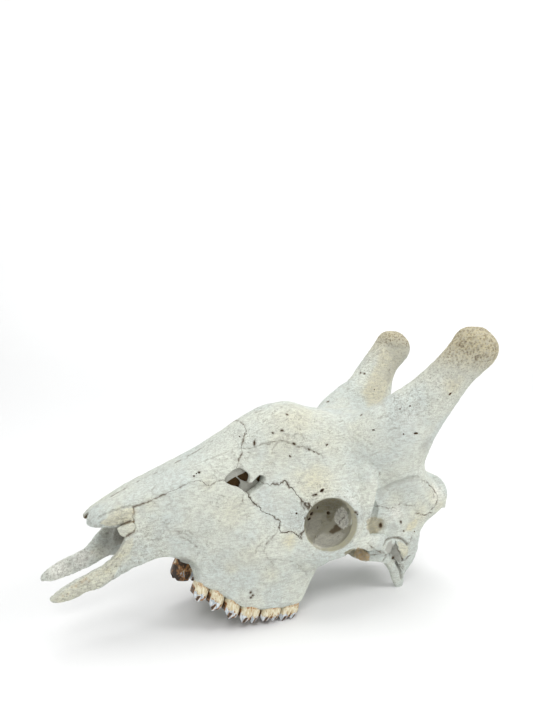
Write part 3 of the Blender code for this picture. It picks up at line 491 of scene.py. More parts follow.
# Bodies taken off or put on where the photograph shows an edge: outline there, distance across at which
# it is seen, least and greatest distance across, and whether both sides carry it
TRIMS = (
    # behind the bar at the back of the eye
    ([(379, 489), (375, 500), (371.3, 511), (368.5, 520), (367, 527), (367.5, 534), (376, 536),
        (382, 520), (386, 500), (386, 488)], -92, (-120, -72), True),
    # front edge of the process behind the ear, and the end of the far one
    ([(382, 563), (386.5, 567), (389.3, 571), (391.5, 576), (392.6, 580), (394.5, 584), (397, 588),
        (388, 590), (378, 575)], -47, (-60, -30), True),
    ([(350, 560.8), (380, 560.8), (380, 572), (350, 572)], 43, (25, 75), False),
    # lower edge of the arch
    ([(345, 553.5), (350, 549), (357, 546.8), (363, 548), (369, 552), (372, 557), (360, 560), (346, 560)],
        -96, (-112, -78), True),
    # upper edge of the near prong, lower and upper edges of the far one
    ([(125, 533), (122, 541), (119, 548), (115, 554), (110, 559), (104, 565), (98, 568.2), (92, 571.2),
        (84, 576.6), (76, 581), (68, 586), (60, 592), (52, 598.5), (44, 592), (60, 576), (80, 562),
        (100, 545), (112, 533)], -33, (-46, -18), False),
    ([(42, 581), (52, 579.3), (60, 576.5), (70, 573), (80, 569), (88, 566), (94, 572), (80, 584),
        (60, 590), (42, 588)], 30, (16, 46), False),
    ([(84, 548), (90, 543), (96, 537), (102, 531), (108, 525), (104, 518), (90, 522), (78, 540)], 31,
        (16, 48), False),
)
ADDED = (
    # root of the process behind the ear, process behind the jaw joint
    ([(379, 550), (386, 551), (391, 558), (390, 570), (386.5, 565.5), (384, 562), (381, 560), (378, 556)],
        -50, (-56, -42), True),
    ([(364, 551), (371, 551.5), (379, 552), (386, 552.5), (388, 562.5), (382, 562), (376, 561),
        (370, 560.2), (365, 559)], -64, (-70, -58), True),
    # knob of the skull's base and the wall in front of it, on which dark olive shade is painted
    ([(355.5, 549.5), (358, 547), (363, 547), (368, 550), (369.5, 555), (368.5, 559.5), (363, 560.3),
        (357.5, 558.5), (355, 554)], -36, (-44, -26), True),
    ([(345, 548), (350, 545), (359, 545), (360, 556.5), (353, 557), (348, 553.5)], -26, (-34, -18), True),
    # lip of the crest at the nape
    ([(435, 475.5), (438.5, 478.5), (442, 484), (443.5, 492), (443.7, 500), (442.8, 506.5), (439, 507),
        (438.5, 500), (437.5, 492), (435, 486), (431, 480)], -40, (-48, -32), True),
)
# Bodies over an outline of the photograph: rows of depth below the skin, where one of 1 or less is a share
# of the full depth, and of share of the outline
CUT_ROWS = ((-9, 1.0), (0, 1.0), (0.6, 0.9), (1.0, 0.55))
RAISED_ROWS = ((4, 1.0), (0, 1.0), (-0.65, 0.85), (-1.0, 0.45))
CUTS = (
    # depth, outline: ear, pit behind the eye, ledge over the gap in the teeth, groove of the process
    (6.5, [(385.5, 550), (387.5, 544), (390, 540.5), (394, 539), (396.5, 543), (398, 549), (400, 556),
        (401, 561), (396, 559), (391, 556)]),
    (9.0, [(367, 519.5), (371, 517), (377, 517.5), (382, 520), (383.5, 524), (382, 528.5), (378, 532),
        (373, 534), (369, 533), (366.5, 528)]),
    (3.0, [(166, 558), (172, 556), (180, 555.5), (188, 557), (193, 560), (195, 563), (188, 562.5),
        (178, 561), (170, 560)]),
    (3.5, [(395.5, 559), (398.5, 564), (400.5, 570), (402.2, 577), (402.5, 582), (400.5, 580),
        (398.6, 573), (396, 566), (394, 561)]),
)
RAISED = (
    (12.0, [(334, 520), (335, 514), (338, 510), (342, 506.5), (345, 509.5), (348, 514), (349, 520),
        (348, 526), (344, 529), (341, 528), (338, 525.5), (335, 522)]),
    (4.0, [(396, 540.5), (400, 540), (404, 542.5), (408, 546), (408.5, 551), (406, 555), (402.5, 557),
        (400, 554), (398, 549)]),
    (2.5, [(402, 551.5), (405, 550), (408, 551.5), (408, 555.5), (405, 558), (402, 556)]),
)
# Areas with a clear edge: tone, strength, softness of the edge in pixels, outline. Some are painted light
# and painted shade
AREAS = (
    # eye socket: painted light on its wall, floor and front, painted shade in olive across its upper part
    # and in a crescent, and a dark wedge painted in the stain's tone
    ("painted_light", 1.0, 0.7, [(334, 520), (335, 514), (338, 510), (342, 506.5), (345, 509.5), (348, 514),
        (348.6, 520), (348, 526), (344, 529), (341, 528), (338, 525.5), (335, 522)]),
    ("painted_light", 0.5, 3.0, [(312, 545), (316, 536), (324, 533), (330, 535), (340, 532), (345, 534),
        (340, 542), (332, 547), (320, 549)]),
    ("painted_light", 0.22, 3.0, [(305, 538), (306, 524), (312, 515), (321, 515), (322, 526), (314, 536)]),
    ("olive_shade", 0.75, 3.0, [(308, 514), (314, 503), (325, 498), (340, 498), (348, 504), (342, 506),
        (335, 510), (328, 512), (317, 513)]),
    ("olive_shade", 0.9, 1.2, [(326, 515), (331, 512), (335, 512), (333.5, 518), (331, 522), (327, 521)]),
    ("stain", 0.8, 2.0, [(329, 531.5), (333, 528), (335, 525), (337, 524), (339, 527), (342, 529),
        (339, 531.5), (336, 532), (333, 534.5), (331, 533.5)]),
    # ear: painted shade in grey in its recess, its groove and above it, and warm patches
    ("painted_shade", 1.0, 2.0, [(391, 546), (395, 543), (398, 550), (400, 556), (402, 561.5), (397, 560.5),
        (392, 558), (390, 552)]),
    ("painted_shade", 0.85, 1.2, [(385, 550), (388, 543), (392, 540.5), (393, 546), (391, 555), (387, 553)]),
    ("warm", 0.8, 1.5, [(397, 541), (403, 543), (408, 547), (408, 555), (403, 559), (399, 550)]),
    ("painted_shade", 0.55, 1.0, [(395, 560), (399, 566), (401, 573), (402, 580), (400.5, 580), (398, 570),
        (394, 562)]),
    ("painted_shade", 0.3, 2.0, [(386, 537), (389, 526), (394, 521), (398, 527), (398, 534), (391, 536)]),
    ("warm", 1.0, 3.0, [(404, 531), (408, 524), (414, 519), (419, 518), (417, 526), (411, 531)]),
    # pit behind the eye with painted shade in olive over its back, knob under the base, and painted shade in
    # olive before it
    ("knob", 0.75, 1.0, [(367, 519.5), (371, 517), (377, 517.5), (382, 520), (383.5, 524), (382, 528.5),
        (378, 532), (373, 534), (369, 533), (366.5, 528)]),
    ("olive_shade", 0.6, 4.0, [(376, 517), (384, 519), (385, 528), (378, 531)]),
    ("brown", 1.0, 0.8, [(355.3, 550), (358, 547.8), (363, 548.8), (368, 552), (370, 555), (369, 561),
        (357, 561), (354, 554)]),
    ("olive_shade", 1.0, 1.0, [(344, 553), (350, 549.5), (355.5, 548), (355.5, 557), (351, 558), (346, 556)]),
    # painted shade in grey along the line of the temple; tan and painted shade in grey on the far ossicone
    ("painted_shade", 0.32, 3.0, [(378, 493), (385, 486.5), (395, 481), (405, 478.5), (418, 477), (420, 480),
        (405, 483), (392, 487), (384, 494), (379, 503)]),
    ("knob", 0.6, 8.0, [(382, 332), (406, 332), (412, 350), (402, 366), (390, 385), (382, 404),
        (368, 406), (362, 392), (376, 364)]),
    ("painted_shade", 0.35, 6.0, [(385, 345), (400, 338), (411, 348), (406, 360), (396, 372), (388, 384),
        (384, 372), (392, 358)]),
    ("knob", 0.35, 9.0, [(452, 345), (488, 345), (480, 366), (462, 384), (450, 392), (440, 384)]),
    # painted shade in grey on the far prong's inner face and on the ledge, warm strips of the near prong,
    # and bluish painted shade on its lower face
    ("painted_shade", 0.5, 8.0, [(100, 545), (108, 527), (124, 524), (124, 541), (118, 549), (110, 558),
        (104, 560), (97, 553)]),
    ("painted_shade", 0.75, 0.8, [(168, 558.5), (175, 557), (183, 557), (190, 559), (193, 561.5), (186, 561.5),
        (176, 560.5)]),
    ("warm", 0.6, 1.0, [(133, 538), (125, 541), (119, 550), (111, 559), (101, 568), (92, 572), (76, 582),
        (60, 593), (50, 601), (62, 603), (80, 596), (94, 590), (101, 586), (113, 577), (121, 563),
        (129, 553), (134, 545)]),
    ("warm", 0.8, 1.0, [(100, 523), (108, 517), (118, 512), (128, 508), (134, 508), (134, 521),
        (124, 525), (106, 526)]),
    ("cool_tone_and_shade", 0.8, 1.0, [(133, 556), (122, 566), (114, 577), (103, 586), (92, 592), (110, 583), (128, 572),
        (142, 565), (150, 560)]),
    ("brown", 0.9, 0.8, [(126, 525.5), (129, 523), (134, 521), (134, 523), (130, 526)]),
)


# Curves through named stations
def smooth_curve(stations):
    """A cubic without overshoot through the rows of a table whose first column is the position."""
    table = np.array(stations, float)
    at = table[:, 0]
    gaps = np.diff(at)[:, None]
    rises = np.diff(table[:, 1:], axis=0) / gaps
    slopes = np.zeros_like(table[:, 1:])
    slopes[0], slopes[-1] = rises[0], rises[-1]
    before, after = rises[:-1], rises[1:]
    weight_a = 2 * gaps[1:] + gaps[:-1]
    weight_b = gaps[1:] + 2 * gaps[:-1]
    with np.errstate(divide="ignore", invalid="ignore"):
        mean = (weight_a + weight_b) / (weight_a / before + weight_b / after)
    slopes[1:-1] = np.where(before * after > 0, mean, 0.0)

    def value(x):
        x = min(max(x, at[0]), at[-1])
        i = min(int(np.searchsorted(at, x, side="right")) - 1, len(at) - 2)
        h = at[i + 1] - at[i]
        t = (x - at[i]) / h
        start = (1 + 2 * t) * (1 - t) ** 2 * table[i, 1:] + t * (1 - t) ** 2 * h * slopes[i]
        end = t * t * (3 - 2 * t) * table[i + 1, 1:] + t * t * (t - 1) * h * slopes[i + 1]
        return start + end

    return value


def rounded(points, count):
    """count points along a smooth open curve through a few given ones."""
    points = np.array(points, float)
    steps = np.linalg.norm(np.diff(points, axis=0), axis=1)
    along = np.concatenate([[0.0], np.cumsum(np.sqrt(steps + 1e-9))])
    padded = np.vstack([2 * points[0] - points[1], points, 2 * points[-1] - points[-2]])
    out = []
    for s in np.linspace(0, along[-1], count):
        i = min(int(np.searchsorted(along, s, side="right")) - 1, len(points) - 2)
        t = (s - along[i]) / (along[i + 1] - along[i])
        a, b, c, d = padded[i : i + 4]
        bend = (2 * a - 5 * b + 4 * c - d) * t * t + (3 * b - a - 3 * c + d) * t**3
        out.append(0.5 * (2 * b + (c - a) * t + bend))
    return np.array(out)


def stations_between(table, step):
    """Evenly spaced positions over a table's whole length."""
    first, last = table[0][0], table[-1][0]
    return np.linspace(first, last, max(2, round((last - first) / step) + 1))


def closed_half(x, half):
    """A ring at x from half a section that starts and ends on the midline."""
    other = half[-2:0:-1] * np.array([-1, 1])
    return [(x, y, z) for y, z in np.vstack([half, other])]


# Closed bodies
def link(name, mesh):
    item = bpy.data.objects.new(name, mesh)
    bpy.context.scene.collection.objects.link(item)
    return item


def from_bmesh(name, bm):
    mesh = bpy.data.meshes.new(name)
    bm.to_mesh(mesh)
    bm.free()
    return link(name, mesh)


def loft(name, rings, labels=(), values=()):
    """A closed skin bridged over rings of equal point counts, with each point's values under labels."""
    bm = bmesh.new()
    marks = [bm.verts.layers.float.new(label) for label in labels]
    loops = []
    for k, ring in enumerate(rings):
        ends = k in (0, len(rings) - 1)
        made = bmesh.ops.create_circle(bm, cap_ends=ends, segments=len(ring), radius=1)["verts"]
        for i, (vert, point) in enumerate(zip(made, ring)):
            vert.co = point
            for mark, value in zip(marks, values[k][i] if marks else ()):
                vert[mark] = value
        loops.append(list({edge for vert in made for edge in vert.link_edges}))
    for low, high in zip(loops, loops[1:]):
        bmesh.ops.bridge_loops(bm, edges=low + high)
    bmesh.ops.recalc_face_normals(bm, faces=bm.faces)
    return from_bmesh(name, bm)


def ball(name, place, around=28, rings=18):
    """A ball that a matrix stretches and sets in place."""
    bm = bmesh.new()
    bmesh.ops.create_uvsphere(bm, u_segments=around, v_segments=rings, radius=1)
    bmesh.ops.transform(bm, matrix=place, verts=bm.verts)
    bmesh.ops.recalc_face_normals(bm, faces=bm.faces)
    return from_bmesh(name, bm)


def side_lump(name, shape, side, turn=(0, 0, 0)):
    """A ball stretched to three radii and turned by angles in degrees, given for the right side."""
    (x, y, z), radii = shape
    spin = Matrix.Rotation(math.radians(side * turn[2]), 4, "Z")
    spin @= Matrix.Rotation(math.radians(turn[1]), 4, "Y")
    spin @= Matrix.Rotation(math.radians(side * turn[0]), 4, "X")
    return ball(name, Matrix.Translation((x, side * y, z)) @ spin @ Matrix.Diagonal((*radii, 1)))


def bar(name, stations, side=1, up=(0, 0, 1), sides=20, steps=7):
    """A bent bar through (x, y, z, half width, half height), its height along up."""
    table = np.array(stations, float)
    table[:, 1] *= side
    path = rounded(table, steps * (len(table) - 1) + 1)
    rings = []
    for i, row in enumerate(path):
        ahead = Vector(path[min(i + 1, len(path) - 1)][:3] - path[max(i - 1, 0)][:3]).normalized()
        across = ahead.cross(Vector(up)).normalized()
        lift = across.cross(ahead).normalized()
        centre = Vector(row[:3])
        wide, tall = across * row[3], lift * row[4]
        turns = [2 * math.pi * k / sides for k in range(sides)]
        rings.append([centre + wide * math.cos(a) + tall * math.sin(a) for a in turns])
    return loft(name, rings)


def slab(name, outline, low_y, high_y, fall=0.0):
    """What a side view's outline holds between two distances across, dropping away from the midline."""
    return loft(name, [[(x, y, z - fall * abs(y)) for x, z in outline] for y in (low_y, high_y)])


def block(name, low, high):
    bm = bmesh.new()
    bmesh.ops.create_cube(bm, size=1)
    size = Vector(high) - Vector(low)
    place = Matrix.Translation((Vector(low) + Vector(high)) / 2) @ Matrix.Diagonal((*size, 1))
    bmesh.ops.transform(bm, matrix=place, verts=bm.verts)
    return from_bmesh(name, bm)


def join(name, items):
    """One object that holds the bodies of several."""
    bm = bmesh.new()
    for item in items:
        bm.from_mesh(item.data)
        bpy.data.objects.remove(item, do_unlink=True)
    return from_bmesh(name, bm)


def baked(item):
    """Applies an object's modifiers to its mesh."""
    graph = bpy.context.evaluated_depsgraph_get()
    mesh = bpy.data.meshes.new_from_object(item.evaluated_get(graph))
    item.modifiers.clear()
    item.data = mesh
    return item


def fused(item, voxel):
    """The outer skin of overlapping bodies, on an even grid."""
    remesh = item.modifiers.new("fuse", "REMESH")
    remesh.mode = "VOXEL"
    remesh.voxel_size = voxel
    return baked(item)


def softened(item, repeat):
    """Evens out the small steps of a skin."""
    smooth = item.modifiers.new("soften", "SMOOTH")
    smooth.factor = EVENING
    smooth.iterations = repeat
    return baked(item)


def filleted(item, radius, voxel):
    """Fills every crease tighter than a radius, by growing the skin and shrinking it again."""
    for reach in (radius, -radius):
        offset = item.modifiers.new("offset", "DISPLACE")
        offset.strength = reach
        offset.mid_level = 0.0
        item = softened(fused(item, voxel), 2)
    return item


def largest_body(item, side=0):
    """Keeps only the largest connected body of an object, or of one side of it."""
    bm = bmesh.new()
    bm.from_mesh(item.data)
    bodies = connected_bodies(bm)
    keep = max((body for body in bodies if side * body[0].co.y >= 0), key=len)
    waste = [vert for body in bodies if body is not keep for vert in body]
    bmesh.ops.delete(bm, geom=waste, context="VERTS")
    bm.to_mesh(item.data)
    bm.free()
    return item


def connected_bodies(bm):
    """Lists of the vertices that edges connect."""
    bodies = []
    seen = set()
    for start in bm.verts:
        if start in seen:
            continue
        seen.add(start)
        body, ahead = [], [start]
        while ahead:
            vert = ahead.pop()
            body.append(vert)
            for edge in vert.link_edges:
                near = edge.other_vert(vert)
                if near not in seen:
                    seen.add(near)
                    ahead.append(near)
        bodies.append(body)
    return bodies


# Masses of bone
def section_mass(name, table, section, step=STATION_STEP):
    """A closed skin through a table's stations; section makes half a ring's outline from a row."""
    sizes = smooth_curve(table)
    return loft(name, [closed_half(x, section(*sizes(x))) for x in stations_between(table, step)])


def face_section(roof, shoulder_y, shoulder_z, wall_y, wall_z, gum_y, gum_z, gum_thick, palate):
    """From the middle of the roof down to the gum, and back under it to the middle of the palate."""
    drop = roof - shoulder_z
    inner_y = gum_y - gum_thick
    outside = rounded(
        [
            (0, roof),
            (0.52 * shoulder_y, roof - 0.10 * drop),
            (0.88 * shoulder_y, roof - 0.48 * drop),
            (shoulder_y + 1, shoulder_z),
            (0.5 * (shoulder_y + wall_y) + 1.5, 0.5 * (shoulder_z + wall_z)),
            (wall_y, wall_z),
            (gum_y + 1, 0.45 * gum_z + 0.40 * wall_z),
            (gum_y, gum_z),
        ],
        22,
    )
    under = rounded(
        [
            (gum_y - 0.5 * gum_thick, gum_z - 2),
            (inner_y, gum_z + 2),
            (inner_y - 4, 0.35 * gum_z + 0.65 * palate),
            (0.45 * inner_y, palate),
            (0, palate),
        ],
        10,
    )
    return np.vstack([outside, under])


def nasal_section(roof, half, low):
    shoulder = 0.72 * roof + 0.28 * low
    return rounded([(0, roof), (0.6 * half, roof - 4), (half, shoulder), (half - 1, low), (0, low)], 14)


def cranium_section(roof, brow_y, brow_z, wall_y, wall_z, base_y, base_z):
    return rounded(
        [
            (0, roof),
            (0.55 * brow_y, roof - 0.12 * (roof - brow_z)),
            (brow_y, brow_z),
            (wall_y, wall_z),
            (0.5 * (wall_y + base_y) + 3, 0.45 * wall_z + 0.55 * base_z),
            (base_y - 8, base_z),
            (0, base_z - 2),
        ],
        26,
    )


def nape_section(half, top, low):
    return rounded(
        [
            (0, top),
            (0.6 * half, top - 2),
            (half, 0.62 * top + 0.38 * low),
            (0.9 * half, 0.25 * top + 0.75 * low),
            (0.4 * half, low),
            (0, low),
        ],
        18,
    )


def cavity_section(half, low, high):
    tall = high - low
    return rounded(
        [
            (0, high),
            (0.7 * half, high - 0.10 * tall),
            (half, high - 0.35 * tall),
            (half, low + 0.25 * tall),
            (0.7 * half, low),
            (0, low),
        ],
        16,
    )


def orbit_frame(side):
    """Centre and outward axis of an eye socket."""
    flip = Vector((1, side, 1))
    return ORBIT * flip, ORBIT_AXIS * flip


def socket_part(name, rows, side, sides=36):
    """Rings round the axis of an eye socket."""
    centre, axis = orbit_frame(side)
    up = Vector((0, 0, 1))
    up = (up - axis * up.dot(axis)).normalized()
    along = up.cross(axis).normalized()
    rings = []
    for depth, reach, rise, back, lift in rows:
        middle = centre - axis * depth + Vector((back, 0, lift))
        turns = [2 * math.pi * k / sides for k in range(sides)]
        rings.append([middle + along * (reach * math.cos(a)) + up * (rise * math.sin(a)) for a in turns])
    return loft(name, rings)


def ossicone_mass(name, side):
    height, girth = OSSICONE_BUILD[name]
    stations = []
    tall = OSSICONE[-1][2] - OSSICONE_FOOT
    for x, y, z, width, length in OSSICONE:
        above = max(0.0, z - OSSICONE_FOOT)
        scale = 1 + (girth - 1) * min(1.0, above / OSSICONE_SHOULDER)
        change = (height - 1) * above
        back, outward = (change * share for share in OSSICONE_LEAN)
        back -= OSSICONE_BOW[name] * math.sin(math.pi * above / tall)
        stations.append((x + back, y + outward, z + change, width * scale, length * scale))
    return bar("ossicone", stations, side, up=(1, 0, 0), sides=28)


def premaxilla_mass(name, side):
    back, rise = PREMAXILLA_TIP[name]
    stations = []
    for x, y, z, width, height in PREMAXILLA:
        share = max(0.0, 1 - x / PREMAXILLA_ROOT)
        stations.append((x + back * share, y, z + rise * share, width, height))
    return bar("premaxilla", stations, side, up=(0, side * PREMAXILLA_LEAN, 1), sides=16)


def side_masses(name, side):
    """The thinner masses that come in pairs."""
    return [
        premaxilla_mass(name, side),
        bar("arch", ARCH, side),
        bar("cheek", CHEEK, side),
        bar("postorbital", POSTORBITAL, side, up=(1, 0, 0)),
        side_lump("condyle", CONDYLE, side, (20, -15, 0)),
        side_lump("ear_block", EAR_BLOCK, side),
        side_lump("bulla", BULLA, side, (0, 12, 0)),
        side_lump("jaw_joint", JAW_JOINT, side),
        bar("paroccipital", PAROCCIPITAL, side, up=(0, 1, 0)),
        bar("pterygoid", PTERYGOID, side),
        bar("keel", keel_stations(), side),
    ]


def keel_stations():
    """Bone under a prong of the muzzle, down to the edge that the photograph shows."""
    wide, tall = KEEL_SIZE
    edge = [at_distance(u, v, KEEL_ACROSS) for u, v in KEEL]
    return [(p.x, -p.y, p.z + tall, wide, tall) for p in reversed(edge)]


# Outlines of the bones seen from the side. A pair of numbers is (x, z) in the skull's frame;
# where an outline shows in the photograph, its points are given there as (u, v) in a list.
NASAL_OUTLINE = (
    (10, 100), (84, 108), (104, 120),
    [(133, 507), (140, 505), (150, 501), (160, 496), (170, 491.5), (180, 487.5), (190, 482), (198, 480.3),
        (202, 481), (205, 484), (210, 486), (213, 483.5), (217, 481.5), (222, 480), (226, 481)],
    (240, 200), (244, 206),
    [(237, 466), (238.5, 460), (240, 456), (242, 452), (241, 447), (243, 441), (243.5, 436), (246, 430)],
    (259, 285), (262, 300), (262, 340), (10, 340),
)
PREMAXILLA_OUTLINE = (
    (-20, -20), (-20, 70), (50, 96), (84, 107), (104, 119), (112, 110), (118, 95), (136, 50), (136, -20),
)
LACRIMAL_OUTLINE = (
    (262, 193),
    [(249, 497), (252, 500), (255, 504), (260, 507), (262, 511), (266, 513), (270, 513.5), (273, 516),
        (277, 519), (281, 521.5), (279, 527), (281, 532), (286, 532), (292, 531), (297, 534), (301, 539)],
    (347, 128), (362, 146), (354, 176),
    [(309, 509), (305, 505), (301, 500), (298, 496), (295, 492), (291, 488), (287, 485), (285, 481),
        (281, 483), (278, 485.5), (273, 483.5), (269, 485.5), (264.5, 484.5)],
    (284, 203),
)
ZYGOMATIC_OUTLINE = (
    [(281, 521.5), (279, 527), (277, 531), (274, 536), (269, 542), (266, 546), (264, 551), (267, 556),
        (272, 560.5), (280, 560.3), (288, 560.5), (295, 562), (300, 566), (304, 571), (308, 577)],
    (394, 44), (440, 60), (480, 84), (480, 152), (436, 150), (391, 140), (347, 128), (330, 150),
)
MAXILLA_OUTLINE = (
    (90, -60), (80, 130), (108, 190), (180, 230), (235, 215), (250, 195), (262, 195), (300, 180),
    (330, 140), (340, 100), (383, 62), (394, 44), (402, -60),
)
FRONTAL_OUTLINE = (
    (180, 400), (180, 180), (312, 60), (384, 60), (392, 92), (430, 100), (470, 125), (484, 140),
    [(375, 506), (379, 506.3), (383, 506.8), (388, 508), (391, 508.5), (394, 507), (396, 507.5),
        (398, 505), (401, 503.5), (404, 504.5), (409, 505.5), (416, 505)],
    (500, 260), (490, 318), (464, 400),
)
OSSICONE_OUTLINE = ((440, 318), (590, 262), (720, 300), (720, 560), (440, 560))
OSSICONE_FALL = 0.28    # how much the foot of an ossicone drops for each step away from the midline
OCCIPITAL_OUTLINE = (
    (534, -40), (534, 84), (560, 106), (574, 128), (590, 160), (602, 196), (608, 240), (700, 300),
    (700, -40),
)
HALF_SPAN = 170         # beyond the skull on either side
MIDLINE_GAP = 0.06      # between the two bones of a pair where they meet
BONE_CUTS = (
    # name, outline, least distance from the midline, gap, sway of the suture, fall, stained walls
    ("ossicone", OSSICONE_OUTLINE, 2, 0.04, 0.8, OSSICONE_FALL, False),
    ("nasal", NASAL_OUTLINE, 0, 0.4, 0.8, 0, True),
    ("premaxilla", PREMAXILLA_OUTLINE, 0, 0.04, 0.5, 0, False),
    ("lacrimal", LACRIMAL_OUTLINE, 40, 0.8, 1.5, 0, True),
    ("zygomatic", ZYGOMATIC_OUTLINE, 52, 0.04, 0.5, 0, False),
    ("maxilla", MAXILLA_OUTLINE, 0, 0.25, 0.4, 0, True),
)

# Gap between nasal, lacrimal, frontal and maxilla, and the slot behind it, as the photograph shows them
VACUITY = [
    (224.5, 480), (228, 475), (233, 470.5), (240, 468), (246, 471.5), (250, 475), (250.5, 480),
    (248.5, 484), (245, 486), (246.5, 491), (246, 495), (243, 490.5), (238, 487.5), (232, 486),
    (227, 483.5),
]
SLOT = [
    (247.5, 493), (250.5, 486), (255, 479.5), (259.5, 475.5), (264.5, 475.5), (266, 480), (264, 485.5),
    (258, 489.5), (253, 492.5), (249, 495.5),
]
VACUITY_DEPTH = 22


# Cheek teeth
def lobe_place(place, lobes):
    """Place within a lobe, from -1 at its front edge to 1 at its back edge."""
    return place if lobes == 1 else 2 * place - math.copysign(1, place)


def tooth_ring(spot, length, width, side, count, lobes, spread, depths):
    """One level of a crown: its outer face carries ribs, and its corners are rounded."""
    ring = []
    for k in range(count):
        turn = 2 * math.pi * k / count
        across, along = math.cos(turn), math.sin(turn)
        square = (abs(across) ** SQUARENESS + abs(along) ** SQUARENESS) ** (-1 / SQUARENESS)
        place = along * square
        q = lobe_place(place, lobes)
        rib = max(
            math.exp(-(((q - TOOTH_PEAK) / 0.26) ** 2)),
            0.8 * math.exp(-(((q - 0.38) / 0.16) ** 2)),
            0.8 * math.exp(-(((abs(q) - 0.9) / 0.12) ** 2)),
        )
        bulge = TOOTH_RIB * rib * max(0, across) * min(1, spread)
        depth = depths(place, across)
        x = spot[0] + place * spread * length / 2 + TOOTH_LEAN * depth
        y = spot[1] + side * (across * square * spread * width / 2 + bulge)
        ring.append(((x, y, spot[2] + depth), place, across))
    return ring


def cheek_tooth(name, spot, length, width, height, lobes, side):
    """A crown with a ribbed outer wall and pointed enamel edges, marked with each point's place on it."""
    count = 44 if lobes == 2 else 32

    def peak(place):
        q = lobe_place(place, lobes)
        slope = 1.7 - abs(q - TOOTH_PEAK) / (1 + TOOTH_PEAK if q < TOOTH_PEAK else 1 - TOOTH_PEAK) - 0.7
        return max(0, slope) * (0.8 if lobes == 2 and place > 0 else 1)

    def edge(scale, outer_rise, inner_rise):
        def depths(place, across):
            share = 0.5 + 0.5 * max(-1, min(1, across * 3))
            rise = outer_rise * share + inner_rise * (1 - share)
            return -height * scale * (0.68 + rise * peak(place))
        return depths

    def level(depth):
        return lambda place, across: depth

    levels = (
        # spread, depths, pit
        (0.62, level(ROOT_DEPTH), 0),
        (0.84, level(4.0), 0),
        (0.90, level(0.5), 0),
        (0.96, level(-0.12 * height), 0),
        (1.00, level(-0.28 * height), 0),
        (1.00, level(-0.42 * height), 0),
        (1.00, edge(0.80, 0.18, 0.10), 0),
        (0.97, edge(0.93, 0.28, 0.16), 0),
        (0.92, edge(1.00, 0.32, 0.18), 0),
        (0.82, edge(0.96, 0.30, 0.16), 0.3),
        (0.70, level(-0.36 * height), 1),
        (0.46, level(-0.34 * height), 1),
        (0.34, edge(0.86, 0.16, 0.24), 0.2),
        (0.22, edge(0.84, 0.14, 0.22), 0.3),
        (0.08, level(-0.40 * height), 1),
    )
    rings = [tooth_ring(spot, length, width, side, count, lobes, spread, depths)
             for spread, depths, _ in levels]
    values = [[(place, (spot[2] - point[2]) / height, across, pit, lobes) for point, place, across in ring]
              for ring, (_, _, pit) in zip(rings, levels)]
    return loft(name, [[point for point, _, _ in ring] for ring in rings], TOOTH_LABELS, values)


def tooth_row(name, side, draw):
    """Six cheek teeth in one row, rooted in the gum."""
    sizes = smooth_curve(FACE)
    crowns = []
    x = TOOTH_ROW_START
    for kind, length, width, height, lobes in TEETH:
        at = x + length / 2
        *_, gum_y, gum_z, gum_thick, _ = sizes(at)
        *_, near_z, _, _ = sizes(x + 2)
        *_, far_z, _, _ = sizes(x + length - 2)
        spot = (at, side * (gum_y - gum_thick / 2), gum_z + 1)
        height *= draw.uniform(*CROWN_WEAR)
        far_first = side > 0 and kind == "P2"
        if far_first:
            height *= FAR_P2_GROWTH
        grown_length = length * (FAR_P2_LENGTH if far_first else 0.99)
        crown = cheek_tooth(kind, spot, grown_length, width, height, lobes, side)
        slope = (far_z - near_z) / (length - 4)
        for vert in crown.data.vertices:
            vert.co.z += (vert.co.x - at) * slope
        crowns.append(crown)
        x += length
    row = join(name, crowns)
    rounding = row.modifiers.new("rounding", "SUBSURF")
    rounding.levels = rounding.render_levels = 2
    return worn_flat(stained_teeth(baked(row), side))


def write_values(mesh, label, values):
    layer = mesh.attributes.new(label, "FLOAT", "POINT")
    layer.data.foreach_set("value", np.clip(values, 0, 1).astype(np.float32))


def lobe_mark(place, molar, marks):
    """1 in the middle of a mark that runs down each lobe, easing to 0 beside it."""
    (middle, width), (molar_middle, molar_width) = marks
    offset = place - np.where(molar, molar_middle, middle)
    return np.exp(-((offset / np.where(molar, molar_width, width)) ** 2))


